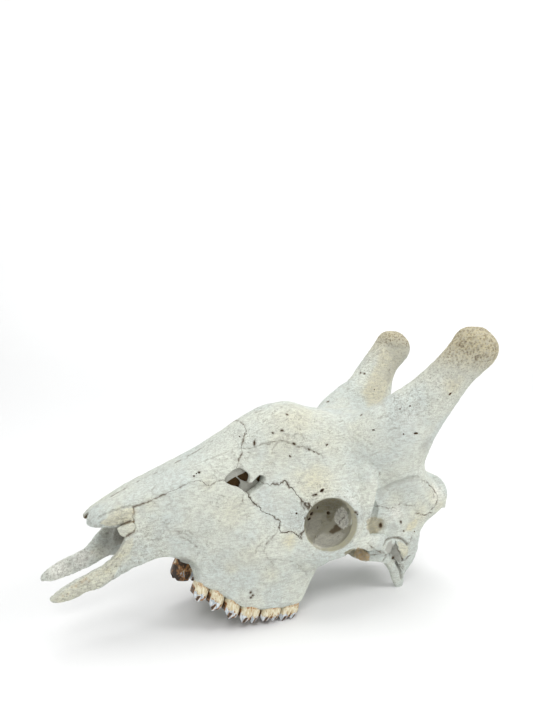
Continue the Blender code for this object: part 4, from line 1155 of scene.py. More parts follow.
def stained_teeth(row, side):
    """Sinks dark slits between the ribs, and paints white enamel, brown bands, crevices, and stain with
    painted shade on the far row's first tooth.
    """
    mesh = row.data
    points = vertex_points(mesh)
    along, down, outer, pit, lobes = (
        read_rows(mesh.attributes[label].data, "value", 1)[:, 0] for label in TOOTH_LABELS)
    lumps, specks = soft_noise(points, 5, 21), soft_noise(points, 1.6, 22)
    streaks = soft_noise(points, 2.0, 23, (1, 1, 2.8))
    molar = lobes > 1.5
    q = np.where(molar, 2 * along - np.sign(along), along) + 0.08 * lumps
    slanted = q + 1.1 * (down - 0.78) + 0.06 * specks
    outside = eased(outer, -0.1, 0.4)
    low = down + 0.05 * lumps
    slit = lobe_mark(slanted, molar, TOOTH_SLIT) * eased(low, 0.52, 0.62) * eased(-low, -0.99, -0.93)
    hollow = lobe_mark(slanted, molar, TOOTH_HOLLOW) * eased(low, 0.42, 0.60)
    crevice = eased(np.abs(q) + 0.06 * lumps, 0.88, 0.98) * eased(down, 0.10, 0.35)
    border = 0.46 + 0.13 * lumps + 0.09 * specks + 0.10 * eased(q, 0.1, 0.5)
    band = np.exp(-(((down - border + 0.05) / 0.045) ** 2)) * (0.55 + 0.6 * specks)
    gum = 0.55 * eased(-down, -0.12, -0.02)
    high = 0.65 * eased(streaks + 0.5 * lumps, 0.1, 0.8) * (1 - 0.5 * eased(down, 0.5, 0.7))
    marks = (2.8 * slit, (1.0 + 0.6 * streaks) * hollow, 2.0 * crevice, band, gum, high, 0.9 * pit)
    facing = eased(-vertex_normals(mesh)[:, 0], 0.45, 0.8)
    inner = 0.45 * (1 - outside) + 0.2 * lumps
    dirt = np.maximum(np.maximum.reduce(marks) * (1 - 0.45 * facing), inner) * (0.85 + 0.3 * specks)
    # the far row's first tooth is painted dark: stain, and painted shade as well
    if side > 0:
        far_stain_and_shade = eased(-points[:, 0], *FAR_P2_STAIN_AND_SHADE)
        dirt = np.maximum(dirt, far_stain_and_shade * (0.85 + 0.6 * lumps + 0.4 * specks))
    enamel = eased(down - border, -0.03, 0.05) * (1 - 0.6 * pit) * (1 - 0.8 * hollow)
    sink = (1.2 * slit + 0.9 * hollow + 0.5 * crevice) * outside + 0.2 * specks
    points = points - vertex_normals(mesh) * sink[:, None]
    mesh.vertices.foreach_set("co", points.ravel())
    write_values(mesh, "stain", dirt)
    write_values(mesh, "enamel", enamel)
    return row


# Photograph and surface
def photo_axes():
    """Directions to the right, down and ahead in the photograph."""
    azimuth, elevation, roll = PHOTO_TURN
    level = math.cos(elevation)
    ahead = Vector((math.sin(azimuth) * level, math.cos(azimuth) * level, -math.sin(elevation)))
    right = Vector((math.cos(azimuth), -math.sin(azimuth), 0))
    down = ahead.cross(right)
    turned = right * math.cos(roll) + down * math.sin(roll)
    return turned, down * math.cos(roll) - right * math.sin(roll), ahead


def line_of_sight(u, v):
    """Direction from the photograph's eye through one of its places."""
    right, down, ahead = photo_axes()
    across, below = ((place - size / 2) / PHOTO_FOCUS for place, size in zip((u, v), PHOTO_SIZE))
    return (right * across + down * below + ahead).normalized()


def at_distance(u, v, across):
    """Where the photograph's line of sight crosses an upright plane beside the midline."""
    line = line_of_sight(u, v)
    return PHOTO_EYE + line * ((across - PHOTO_EYE.y) / line.y)


def upright(outline, across):
    """An outline of the photograph on an upright plane beside the midline, as (x, z) pairs."""
    return [(p.x, p.z) for p in (at_distance(u, v, across) for u, v in outline)]


def in_photo(points):
    """Places in the photograph at which points of the skull's frame are seen."""
    right, down, ahead = (np.array(axis) for axis in photo_axes())
    offset = points - np.array(PHOTO_EYE)
    depth = offset @ ahead
    return np.column_stack([PHOTO_SIZE[0] / 2 + PHOTO_FOCUS * (offset @ right) / depth,
                            PHOTO_SIZE[1] / 2 + PHOTO_FOCUS * (offset @ down) / depth])


def seen(surface, u, v):
    """Point and outward direction of the surface that the photograph shows at a place."""
    hit, normal, _, _ = surface.ray_cast(PHOTO_EYE, line_of_sight(u, v))
    return hit, normal


def side_outline(surface, outline):
    """An outline as (x, z) pairs all round."""
    points = []
    for item in outline:
        if isinstance(item, list):
            found = [seen(surface, *place)[0] for place in item]
            points += [(hit.x, hit.z) for hit in found if hit]
        else:
            points.append(item)
    return points


def meandering(outline, sway, draw):
    """The same outline with short seeded waves, as a suture has."""
    points = []
    for start, end in zip(outline, outline[1:] + outline[:1]):
        start, end = Vector(start), Vector(end)
        count = max(1, min(MOST_WAVES, round((end - start).length / SUTURE_STEP)))
        across = Vector((start.y - end.y, end.x - start.x)).normalized()
        points.append(start)
        for k in range(1, count):
            points.append(start.lerp(end, k / count) + across * draw.uniform(-sway, sway))
    return [tuple(point) for point in points]


# Openings
def edge_bodies(name, rows):
    """Upright bodies that fill outlines of the photograph at given distances across."""
    made = []
    for outline, across, span, both in rows:
        shape = upright(outline, across)
        made.append(slab(name, shape, *span))
        if both:
            made.append(slab(name, shape, -span[1], -span[0]))
    return made


def skin_bodies(surface, name, steps, rows):
    """Bodies over outlines of the photograph, from above the skin into it, on both sides."""
    made = []
    for reach, outline in rows:
        ring = rounded(outline + outline[:1], OUTLINE_POINTS)[:-1]
        lines = [line_of_sight(u, v) for u, v in ring]
        far = [surface.ray_cast(PHOTO_EYE, line)[3] for line in lines]
        middle = float(np.median([distance for distance in far if distance]))
        near, deep = middle - SKIN_SPREAD, middle + SKIN_SPREAD
        reaches = [max(near, min(deep, distance or middle)) for distance in far]
        hits = [PHOTO_EYE + line * distance for line, distance in zip(lines, reaches)]
        centre = sum(hits, Vector()) / len(hits)
        ahead = (centre - PHOTO_EYE).normalized()
        for side in (1, -1):
            rings = []
            for depth, share in steps:
                shift = ahead * (depth * reach if abs(depth) <= 1 else depth)
                ring = [centre + (hit - centre) * share + shift for hit in hits]
                rings.append([point * Vector((1, side, 1)) for point in ring])
            made.append(loft(name, rings))
    return made


def nasal_cavity():
    return section_mass("nasal_cavity", CAVITY, cavity_section, CAVITY_STEP)


def drilled(surface, u, v, wide, tall, deep, tilt):
    """Small holes where the photograph shows one, and at the same place on the other side."""
    hit, normal = seen(surface, u, v)
    if not hit:
        return []
    across = photo_axes()[0]
    across = (across - normal * across.dot(normal)).normalized()
    across.rotate(Quaternion(normal, math.radians(tilt)))
    made = []
    for side in (1, -1):
        flip = Vector((1, side, 1))
        axes = (across * flip, normal.cross(across) * flip, normal * flip)
        turn = Matrix(axes).transposed().to_4x4()
        place = Matrix.Translation(hit * flip) @ turn @ Matrix.Diagonal((wide, tall, deep, 1))
        made.append(ball("hole", place, 14, 8))
        if abs(hit.y) < wide + TWIN_GAP:
            break
    return made


def openings(surface):
    gap = INCISIVE_GAP
    half = gap["half_width"]
    cutters = [
        nasal_cavity(),
        block("incisive_gap", (gap["x"][0], -half, gap["z"][0]), (gap["x"][1], half, gap["z"][1])),
        bar("foramen_magnum", FORAMEN_MAGNUM),
        bar("choana", CHOANA),
    ]
    for side in SIDES.values():
        cutters += [
            socket_part("orbit", ORBIT_BOWL, side),
            side_lump("temple", TEMPLE, side, (0, 0, 8)),
            side_lump("passage", PASSAGE, side, (0, 0, -6)),
            bar("tooth_gap", TOOTH_GAP, side),
            bar("ear_opening", EAR_OPENING, side, sides=12),
        ]
        for shape in (VACUITY, SLOT):
            low, high = sorted((side * VACUITY_DEPTH, side * HALF_SPAN))
            cutters.append(slab("vacuity", side_outline(surface, [shape]), low, high))
    return cutters


# Whole skull
def whole_skull():
    """The skull in one piece before its openings are cut."""
    core = [
        section_mass("face", FACE, face_section),
        section_mass("cranium", CRANIUM, cranium_section),
        section_mass("nape", NAPE, nape_section),
    ]
    for name, side in SIDES.items():
        core += [socket_part("socket", ORBIT_CONE, side), ossicone_mass(name, side)]
    core = filleted(softened(fused(join("core", core), ROUGH), 3), BROAD_FILLET, ROUGH)
    masses = [core, section_mass("nasals", NASAL, nasal_section), bar("skull_base", BASE_BAR)]
    for name, side in SIDES.items():
        masses += side_masses(name, side)
    return filleted(softened(fused(join("skull", masses), MIDDLE), 8), FINE_FILLET, MIDDLE)


def opened(skull, surface):
    """Cuts the openings, and brings the skin to its fine grid."""
    raised = edge_bodies("added", ADDED) + skin_bodies(surface, "raised", RAISED_ROWS, RAISED)
    skull = combined(skull, fused(join("raised", raised), MIDDLE), "UNION")
    cutters = openings(surface) + edge_bodies("trim", TRIMS) + skin_bodies(surface, "cut", CUT_ROWS, CUTS)
    skull = combined(skull, fused(join("hollow", cutters), MIDDLE), "DIFFERENCE")
    return softened(fused(skull, FINE), 2)


def holed(skull, surface):
    """Cuts the small holes."""
    holes = [hole for item in HOLES for hole in drilled(surface, *item)]
    # the holes' walls take the suture walls' dark brown, which also stands in for the shade inside them
    for hole in holes:
        hole.data.materials.append(bpy.data.materials["suture bone"])
    holes = join("holes", holes)
    holes.data.materials.append(bpy.data.materials["suture bone"])
    return combined(skull, holes, "DIFFERENCE")


def worn_flat(skull):
    """Takes off what would reach below the floor."""
    slope = (PROCESS_CONTACT[1] - MOLAR_CONTACT[1]) / (PROCESS_CONTACT[0] - MOLAR_CONTACT[0])
    floor = [(x, MOLAR_CONTACT[1] + (x - MOLAR_CONTACT[0]) * slope) for x in FLOOR_SPAN]
    under = [(x, z - FLOOR_DEPTH) for x, z in reversed(floor)]
    return combined(skull, slab("floor", floor + under, -HALF_SPAN, HALF_SPAN), "DIFFERENCE")


def grown(outline, distance, draw):
    """An outline moved outwards by a distance that varies, as the width of an open suture does."""
    points = [Vector(point) for point in outline]
    area = sum(a.x * b.y - b.x * a.y for a, b in zip(points, points[1:] + points[:1]))
    outward = 1 if area > 0 else -1
    moved = []
    for i, point in enumerate(points):
        into = (point - points[i - 1]).normalized()
        away = (points[(i + 1) % len(points)] - point).normalized()
        bisector = Vector((into.y + away.y, -into.x - away.x)) * outward
        reach = distance * draw.uniform(*GAP_VARIES) * 2 / max(bisector.length_squared, SHARPEST_TURN)
        moved.append(point + bisector * reach)
    return [tuple(point) for point in moved]


# Bones
def combined(item, other, operation):
    """item after a Boolean with another body, which is used up; cut faces take that one's material."""
    blend = item.modifiers.new("combine", "BOOLEAN")
    blend.operation = operation
    blend.solver = "MANIFOLD"
    blend.material_mode = "TRANSFER"
    blend.object = other
    baked(item)
    bpy.data.objects.remove(other, do_unlink=True)
    return item


def sawn(body, outline, spans, gap, draw, fall=0.0, stained=False):
    """Parts the bones inside an outline from a body, one in each span across, and leaves an open suture."""
    around = grown(outline, gap, draw)
    bone = link("bone", body.data.copy())
    inside = [slab("inside", outline, low, high, fall) for low, high in spans]
    if spans[-1][0] - spans[0][1] < 4 * gap:
        spans = ((spans[0][0], spans[-1][1]),)
    beyond = [slab("beyond", around, low - gap, high + gap, fall) for low, high in spans]
    saws = [join("inside", inside), join("beyond", beyond)]
    if stained:
        for saw in saws:
            saw.data.materials.append(bpy.data.materials["suture bone"])
    combined(bone, saws[0], "INTERSECT")
    combined(body, saws[1], "DIFFERENCE")
    return bone


def split_sides(bone):
    """The largest body on each side of the midline."""
    sides = {}
    for name, side in SIDES.items():
        half = link(name, bone.data.copy())
        sides[name] = largest_body(half, side)
    bpy.data.objects.remove(bone, do_unlink=True)
    return sides


def parted(skull, surface):
    """The skull's bones by node name."""
    draw = random.Random(SEED)
    bones = {}
    for name, outline, inner, gap, sway, fall, stained in BONE_CUTS:
        shape = meandering(side_outline(surface, outline), sway, draw)
        reach = inner or MIDLINE_GAP / 2
        pair = sawn(skull, shape, ((-HALF_SPAN, -reach), (reach, HALF_SPAN)), gap, draw, fall, stained)
        for side, bone in split_sides(pair).items():
            bones[f"{name}_{side}"] = bone
    for name, outline in (("frontal", FRONTAL_OUTLINE), ("occipital", OCCIPITAL_OUTLINE)):
        shape = meandering(side_outline(surface, outline), 0.6, draw)
        bones[name] = largest_body(sawn(skull, shape, ((-HALF_SPAN, HALF_SPAN),), 0.04, draw))
    bones["braincase"] = largest_body(skull)
    return bones


# Fine relief and colour of the bone
def soft_noise(points, size, seed, stretch=(1, 1, 1)):
    """Smooth random lumps of a given size, from -1 to 1, longer along the stretched directions."""
    at = points / (size * np.array(stretch)) + seed * 17.31
    cell = np.floor(at).astype(np.int64)
    part = at - cell
    part = part * part * (3 - 2 * part)
    total = np.zeros(len(points))
    for corner in range(8):
        step = np.array([corner & 1, corner >> 1 & 1, corner >> 2])
        key = (cell + step) @ np.array([73856093, 19349663, 83492791])
        key = (key ^ (key >> 13)) * 1274126177
        value = ((key ^ (key >> 16)) & 0xFFFF) / 32767.5 - 1
        total += value * np.prod(np.where(step, part, 1 - part), axis=1)
    return total


def eased(value, low, high):
    """0 below low, 1 above high, and a smooth rise between."""
    share = np.clip((value - low) / (high - low), 0, 1)
    return share * share * (3 - 2 * share)


def read_rows(items, field, width=3):
    """One field of all of a mesh's items."""
    values = np.empty(len(items) * width)
    items.foreach_get(field, values)
    return values.reshape(-1, width)


def vertex_points(mesh):
    return read_rows(mesh.vertices, "co")


def vertex_normals(mesh):
    return read_rows(mesh.vertex_normals, "vector")


def orbit_depth(points):
    """Distance from the nearer eye socket's axis, and depth below its rim."""
    found = []
    for side in SIDES.values():
        centre, axis = (np.array(item) for item in orbit_frame(side))
        offset = points - centre
        along = offset @ axis
        found.append((np.linalg.norm(offset - along[:, None] * axis, axis=1), -along))
    right = points[:, 1] > 0
    away = np.where(right, found[1][0], found[0][0])
    return away, np.where(right, found[1][1], found[0][1])


def inside_nose(points, cavity):
    """1 for the walls of the nasal cavity, 0 outside."""
    deep = np.zeros(len(points))
    for index in np.nonzero(points[:, 0] < CAVITY[-1][0] + 2)[0]:
        if cavity.find_nearest(points[index], 2.0)[0]:
            deep[index] = 1
    return deep * eased(points[:, 0], CAVITY[3][0], CAVITY[5][0])


def coarseness(points):
    """How porous the bone's skin is, from 0 to 1."""
    x, _, z = points.T
    away, _ = orbit_depth(points)
    knob = eased(z, 385, 430) * (x > 480)
    forehead = 0.35 * eased(z, 235, 262) * eased(-x, -440, -400) * eased(x, 190, 240)
    shaft = 0.5 * eased(z, 290, 330) * (x > 470)
    muzzle = 0.85 * eased(-x, -190, -120) * eased(-z, -150, -120)
    rim = 0.7 * eased(away, 40, 46) * eased(-away, -74, -56) * eased(z, 120, 150)
    back = 0.4 * eased(x, 560, 610) * eased(-z, -230, -200)
    patch = 0.25 * eased(soft_noise(points, 42, 3), 0.1, 0.6)
    return np.clip(np.maximum.reduce([knob, shaft, forehead, muzzle, rim, back, patch]) + 0.06, 0, 1)


def relief(points, coarse):
    """Height of the skin's own lumps, fibres and grain, in millimetres."""
    swell = 0.45 * soft_noise(points, 26, 1) + 0.30 * soft_noise(points, 9, 2)
    grain = soft_noise(points, 3.2, 4) + 0.6 * soft_noise(points, 1.9, 5)
    up = eased(points[:, 2], 250, 330)
    lying, upright_ones = soft_noise(points, 2.2, 6, (5, 1, 1)), soft_noise(points, 2.2, 7, (1.5, 1, 6))
    fibres = lying * (1 - up) + upright_ones * up
    return swell + (0.10 + 0.20 * coarse) * grain + (0.16 + 0.12 * coarse) * fibres


def crack_marks(surface):
    """Points along every crack of the photograph, and mirrored ones a little astray on the far side."""
    draw = random.Random(SEED + 1)
    marks = []
    for radius, depth, stain, line in CRACKS:
        sway = CRACK_SWAY if radius < 2 else 0
        found = []
        offset = Vector((0, 0))
        for (u0, v0), (u1, v1) in zip(line, line[1:]):
            count = max(2, round(math.hypot(u1 - u0, v1 - v0) / CRACK_STEP))
            for k in range(count):
                if k % 3 == 0:
                    start, offset = offset, Vector((draw.uniform(-sway, sway), draw.uniform(-sway, sway)))
                at = start.lerp(offset, k % 3 / 3)
                u, v = u0 + (u1 - u0) * k / count + at.x, v0 + (v1 - v0) * k / count + at.y
                found.append(seen(surface, u, v)[0])
        fade = draw.uniform(0.4, 0.8)
        phase, rate = draw.uniform(0, 6), draw.uniform(0.35, 0.7)
        for k, hit in enumerate(found):
            if not hit or hit.y >= 0:
                continue
            swing = 0.7 + 0.4 * draw.random() + (0.35 * math.sin(phase + k * rate) if sway else 0)
            marks.append((hit, radius, depth * swing, stain * swing))
            other = surface.find_nearest((hit.x + 3, -hit.y, hit.z + 2))[0]
            marks.append((other, radius, depth * swing * fade, stain * swing * fade))
    return marks


def pore_marks(points, coarse, draw, spacing):
    """Scattered pores, closer together where the bone is coarse."""
    marks = []
    order = list(range(len(points)))
    draw.shuffle(order)
    for index in order[: int(len(points) / spacing)]:
        if draw.random() < coarse[index] ** 1.3:
            size = draw.uniform(0.9, 1.5) * (1 + 0.5 * coarse[index])
            deep = draw.uniform(0.25, 0.6) * (0.6 + coarse[index])
            height = eased(points[index][2], 300, 380)
            dark = draw.uniform(0.1, 0.75) * coarse[index] * (0.45 + 0.55 * height)
            marks.append((Vector(points[index]), size, deep, dark))
    return marks


def sculpted(skull, surface, cracks, patches, nose):
    """Gives the skin its relief; returns a tree of its points, and what is painted on each."""
    mesh = skull.data
    points = vertex_points(mesh)
    coarse = coarseness(points)
    marks = cracks + pore_marks(points, coarse, random.Random(SEED + 3), PORE_SPACING)
    tree = point_tree(points)
    sink = np.zeros(len(points))
    stain = np.zeros(len(points))
    for place, radius, depth, colour in marks:
        for _, index, distance in tree.find_range(place, max(radius, FINE)):
            share = 1 - (distance / max(radius, FINE)) ** 2
            if abs(depth * share) > abs(sink[index]):
                sink[index] = depth * share
            stain[index] = max(stain[index], colour * share)
    sunk = points + vertex_normals(mesh) * (relief(points, coarse) - sink)[:, None]
    mesh.vertices.foreach_set("co", sunk.ravel())
    mesh.update()
    away, depth = orbit_depth(points)
    knob = eased(points[:, 2], *KNOB_HEIGHTS) * (points[:, 0] > 480)
    band = eased(depth, 0.8, 2.5) * eased(-away, -47.8, -46.2) * (depth < 62)
    paint = {
        "stain": np.clip(stain + 0.35 * knob * eased(soft_noise(points, 2.6, 9), 0.3, 0.7), 0, 1),
        "knob": knob,
        "band": band,
        "socket": band * eased(depth, 11.5, 13.5),
        "coarse": coarse,
        # dark brown on the nasal cavity's walls: partly their colour, partly painted shade inside the cavity
        "deep": inside_nose(points, nose),
    }
    blot = soft_noise(points, 11, 8)
    for kind, places in patches.items():
        tint = np.zeros(len(points))
        for centre, radius, strength in places:
            gap = np.linalg.norm(points - np.array(centre), axis=1) / radius
            tint = np.maximum(tint, strength * np.exp(-(gap**2) * (1 + 0.6 * blot)))
        paint[kind] = np.maximum(paint.get(kind, 0), tint)
    for kind, strength, soft, outline in AREAS:
        area = strength * area_share(points, surface, outline, soft)
        paint[kind] = np.maximum(paint.get(kind, 0), area)
    return point_tree(sunk), paint


def area_share(points, surface, outline, soft):
    """1 on the skin that the photograph shows inside an outline, and on its twin, easing to 0 beyond."""
    edge = np.array(outline, float)
    low, high = edge.min(axis=0) - soft, edge.max(axis=0) + soft
    columns, rows = (np.arange(low[k], high[k] + 1) for k in (0, 1))
    hits = [seen(surface, u, v)[0] for u in columns for v in rows]
    tree = point_tree([hit for hit in hits if hit])
    share = np.zeros(len(points))
    ragged = 0.7 * soft_noise(points, 3, 31)
    for flip in (1, -1):
        turned = points * np.array((1, flip, 1))
        places = in_photo(turned)
        near = np.nonzero(((places > low) & (places < high)).all(axis=1))[0]
        near = np.array([i for i in near if tree.find(turned[i])[2] < PAINT_REACH], int)
        if len(near):
            inside = eased(outline_distance(places[near], edge) + ragged[near], -soft / 2, soft / 2)
            share[near] = np.maximum(share[near], inside * (1 if flip > 0 else FAR_PAINT))
    return share


def outline_distance(places, edge):
    """Distance of places to a closed outline, positive inside it."""
    nearest = np.full(len(places), np.inf)
    inside = np.zeros(len(places), bool)
    for start, end in zip(edge, np.roll(edge, -1, axis=0)):
        run = end - start
        offset = places - start
        share = np.clip(offset @ run / (run @ run), 0, 1)
        nearest = np.minimum(nearest, np.linalg.norm(offset - share[:, None] * run, axis=1))
        crossed = (start[1] > places[:, 1]) != (end[1] > places[:, 1])
        rise = run[1] if run[1] else 1.0
        inside ^= crossed & (places[:, 0] < start[0] + (places[:, 1] - start[1]) * run[0] / rise)
    return np.where(inside, nearest, -nearest)


def point_tree(points):
    tree = KDTree(len(points))
    for index, point in enumerate(points):
        tree.insert(point, index)
    tree.balance()
    return tree


def suture_dirt(mesh, tree, stain):
    """Uneven dirt along the edges of a stained suture."""
    dark = mesh.materials.find("suture bone")
    if dark < 0:
        return
    edge = sorted({v for face in mesh.polygons if face.material_index == dark for v in face.vertices})
    points = vertex_points(mesh)[edge]
    dirt = eased(soft_noise(points, 15, 12) + 0.8 * soft_noise(points, 4.3, 13), -0.35, 0.5)
    for point, share in zip(points[dirt > 0.1], dirt[dirt > 0.1]):
        for _, index, distance in tree.find_range(point, FINE + share):
            stain[index] = max(stain[index], SUTURE_DIRT * share * (1 - distance / (FINE + share)))


def painted(mesh, tree, paint):
    """Copies what is painted on the whole skull's points to a bone's."""
    nearest = np.array([tree.find(point)[1] for point in vertex_points(mesh)])
    for label, values in paint.items():
        write_values(mesh, label, values[nearest])


# Materials
def shader_group(name, inputs, outputs):
    """An empty node group with named sockets; returns it with its input and output nodes."""
    tree = bpy.data.node_groups.new(name, "ShaderNodeTree")
    for label, kind, value in inputs:
        socket = tree.interface.new_socket(label, in_out="INPUT", socket_type=kind)
        if value is not None:
            socket.default_value = value
    for label, kind in outputs:
        tree.interface.new_socket(label, in_out="OUTPUT", socket_type=kind)
    return tree, tree.nodes.new("NodeGroupInput"), tree.nodes.new("NodeGroupOutput")


class Bench:
    """Short calls that place nodes in one tree and wire them."""

    def __init__(self, tree):
        self.tree = tree

    def wire(self, value, socket):
        if isinstance(value, bpy.types.NodeSocket):
            self.tree.links.new(value, socket)
        elif value is not None:
            socket.default_value = value

    def place(self, kind, settings=(), **values):
        node = self.tree.nodes.new(kind)
        for key, setting in dict(settings).items():
            setattr(node, key, setting)
        for label, value in values.items():
            self.wire(value, node.inputs[label.replace("_", " ")])
        return node

    def math(self, operation, a, b=None, c=None):
        node = self.tree.nodes.new("ShaderNodeMath")
        node.operation = operation
        for socket, value in zip(node.inputs, (a, b, c)):
            self.wire(value, socket)
        return node.outputs[0]

    def noise(self, at, scale, detail, rough=0.5):
        node = self.place("ShaderNodeTexNoise", Vector=at, Scale=scale, Detail=detail, Roughness=rough)
        return node.outputs["Fac"]

    def stretched(self, at, scale):
        return self.place("ShaderNodeMapping", Vector=at, Scale=scale).outputs[0]

    def painted(self, label):
        """A value that was painted on the mesh."""
        return self.place("ShaderNodeAttribute", {"attribute_name": label}).outputs["Fac"]

    def blend(self, share, first, second, kind="MIX"):
        node = self.tree.nodes.new("ShaderNodeMix")
        node.data_type, node.blend_type = "RGBA", kind
        for socket, value in ((node.inputs[0], share), (node.inputs[6], first), (node.inputs[7], second)):
            self.wire(value, socket)
        return node.outputs[2]

    def ramp(self, value, low, high):
        """0 below low and 1 above high."""
        node = self.place("ShaderNodeMapRange", Value=value, From_Min=low, From_Max=high)
        node.interpolation_type = "SMOOTHSTEP"
        return node.outputs[0]

    def relief(self, height, strength, distance):
        """Bump from a height that changes over the surface."""
        return self.place("ShaderNodeBump", Height=height, Strength=strength, Distance=distance).outputs[0]


def bone_grain():
    """Dry bone's mottling and fibres, about -1 to 1, its height, and masks of its pores and fine grooves."""
    tree, source, out = shader_group(
        "bone grain",
        (("Vector", "NodeSocketVector", None), ("Coarse", "NodeSocketFloat", 0.2)),
        tuple((label, "NodeSocketFloat") for label in ("Shade", "Height", "Pores", "Lines")),
    )
    bench = Bench(tree)
    at, coarse = source.outputs["Vector"], source.outputs["Coarse"]
    cloud = bench.noise(at, 150.0, 5.0, 0.75)
    fine = bench.noise(at, 620.0, 3.0, 0.7)
    fibre = bench.noise(bench.stretched(at, (0.22, 1.0, 1.0)), 430.0, 3.0, 0.6)
    cells = bench.place("ShaderNodeTexVoronoi", Vector=at, Scale=420.0, Randomness=1.0).outputs["Distance"]
    holes = bench.math("SUBTRACT", 1.0, bench.ramp(cells, 0.10, 0.30))
    area = bench.noise(at, 90.0, 2.0, 0.5)
    where = bench.ramp(bench.math("MULTIPLY_ADD", coarse, 0.45, area), 0.52, 0.8)
    pores = bench.math("MULTIPLY", holes, where)
    vein = bench.math("ABSOLUTE", bench.math("SUBTRACT", bench.noise(at, 34.0, 3.0, 0.55), 0.5))
    vein = bench.math("SUBTRACT", 1.0, bench.ramp(vein, 0.0, 0.012))
    lines = bench.math("MULTIPLY", vein, bench.ramp(bench.noise(at, 55.0, 1.0, 0.5), 0.52, 0.66))
    shade = bench.math("MULTIPLY_ADD", bench.math("SUBTRACT", cloud, 0.5), 1.6,
                       bench.math("MULTIPLY", bench.math("SUBTRACT", fibre, 0.5), 2.2))
    shade = bench.math("MULTIPLY_ADD", bench.math("SUBTRACT", fine, 0.5), 2.0, shade)
    height = bench.math("MULTIPLY_ADD", pores, -1.2, bench.math("MULTIPLY_ADD", fibre, 0.8, fine))
    height = bench.math("MULTIPLY_ADD", lines, -0.6, bench.math("MULTIPLY_ADD", cloud, 1.2, height))
    for label, value in (("Lines", lines), ("Shade", shade), ("Height", height), ("Pores", pores)):
        bench.wire(value, out.inputs[label])
    return tree


def new_material(name):
    """A material, its bench of nodes, its shader and the piece's own coordinates."""
    material = bpy.data.materials.new(name)
    material.use_nodes = True
    bench = Bench(material.node_tree)
    at = bench.place("ShaderNodeTexCoord").outputs["Object"]
    return material, bench, material.node_tree.nodes["Principled BSDF"], at


def bone_material(name, grain, tones):
    """Dry bone: pale ground, warm and cool patches, stained cracks, tan porous knobs, grey socket walls,
    painted light and painted shade.
    """
    material, bench, shader, at = new_material(name)
    skin = bench.place("ShaderNodeGroup", {"node_tree": grain}, Vector=at, Coarse=bench.painted("coarse"))
    # random patches of the cool tone over the pale ground; the same tone is painted as bluish shade below
    colour = bench.blend(bench.ramp(bench.noise(at, 16.0, 3.0), 0.38, 0.64), tones["cool_tone_and_shade"], tones["pale"])
    for label in PAINTED_TONES:
        colour = bench.blend(bench.painted(label), colour, tones[label])
    dark = bench.ramp(skin.outputs["Shade"], -0.5, 0.45)
    colour = bench.blend(bench.math("MULTIPLY_ADD", dark, -0.6, 0.6), colour, tones["shade"])
    for mask, share in (("Lines", 0.35), ("Pores", 0.7)):
        colour = bench.blend(bench.math("MULTIPLY", skin.outputs[mask], share), colour, tones["pore"])
    colour = bench.blend(bench.painted("stain"), colour, tones["stain"])
    bench.wire(colour, shader.inputs["Base Color"])
    bench.wire(bench.relief(skin.outputs["Height"], 0.9, 0.0012), shader.inputs["Normal"])
    shader.inputs["Roughness"].default_value = 0.82
    shader.inputs["Specular IOR Level"].default_value = 0.25
    return material


def suture_material(grain):
    """Brown bone on the walls of the sutures."""
    material, bench, shader, at = new_material("suture bone")
    skin = bench.place("ShaderNodeGroup", {"node_tree": grain}, Vector=at)
    shade = bench.ramp(skin.outputs["Shade"], -0.3, 0.4)
    bench.wire(bench.blend(shade, *SUTURE_TONES), shader.inputs["Base Color"])
    shader.inputs["Roughness"].default_value = 0.9
    return material


def tooth_material(grain):
    """Cream crowns, white enamel edges and dark brown pits."""
    material, bench, shader, at = new_material("tooth")
    skin = bench.place("ShaderNodeGroup", {"node_tree": grain}, Vector=at)
    streak = bench.noise(bench.stretched(at, (1.0, 1.0, 0.3)), 420.0, 4.0)
    enamel = bench.ramp(bench.math("MULTIPLY_ADD", streak, 0.6, bench.painted("enamel")), 0.6, 1.0)
    colour = bench.blend(bench.ramp(streak, 0.35, 0.65), *CEMENT_TONES)
    glaze = bench.blend(bench.ramp(streak, 0.38, 0.58), *ENAMEL_TONES)
    colour = bench.blend(enamel, colour, glaze)
    # the painted stain, which on the far row's first tooth also holds painted shade
    dirt = bench.math("MULTIPLY_ADD", streak, 0.5, bench.painted("stain"))
    colour = bench.blend(bench.ramp(dirt, 0.55, 0.85), colour, TOOTH_BROWN)
    colour = bench.blend(bench.ramp(dirt, 0.85, 1.25), colour, TOOTH_BLACK)
    bench.wire(colour, shader.inputs["Base Color"])
    bench.wire(bench.relief(skin.outputs["Height"], 0.2, 0.0005), shader.inputs["Normal"])
    shader.inputs["Roughness"].default_value = 0.42
    return material


BONE_TONES = {
    "pale": (0.72, 0.75, 0.66, 1),
    # cool: the ground's random bluish tone, and bluish painted shade where it is painted
    "cool_tone_and_shade": (0.635, 0.69, 0.65, 1),
    "warm": (0.715, 0.69, 0.515, 1),
    "knob": (0.58, 0.515, 0.335, 1),
    "band": (0.45, 0.43, 0.30, 1),
    "socket": (0.465, 0.445, 0.345, 1),
    # painted light, for places that are to look lit
    "painted_light": (0.95, 0.945, 0.87, 1),
    "brown": (0.50, 0.36, 0.19, 1),
    # painted shade, dark olive, in the eye socket, the pit behind it and before the knob of the base
    "olive_shade": (0.24, 0.215, 0.13, 1),
    # painted shade, grey
    "painted_shade": (0.36, 0.36, 0.32, 1),
    # dark brown of the nasal cavity's walls, partly painted shade
    "deep": (0.30, 0.21, 0.11, 1),
    "shade": (0.40, 0.39, 0.35, 1),
    "pore": (0.22, 0.18, 0.13, 1),
    "stain": (0.085, 0.048, 0.016, 1),
}
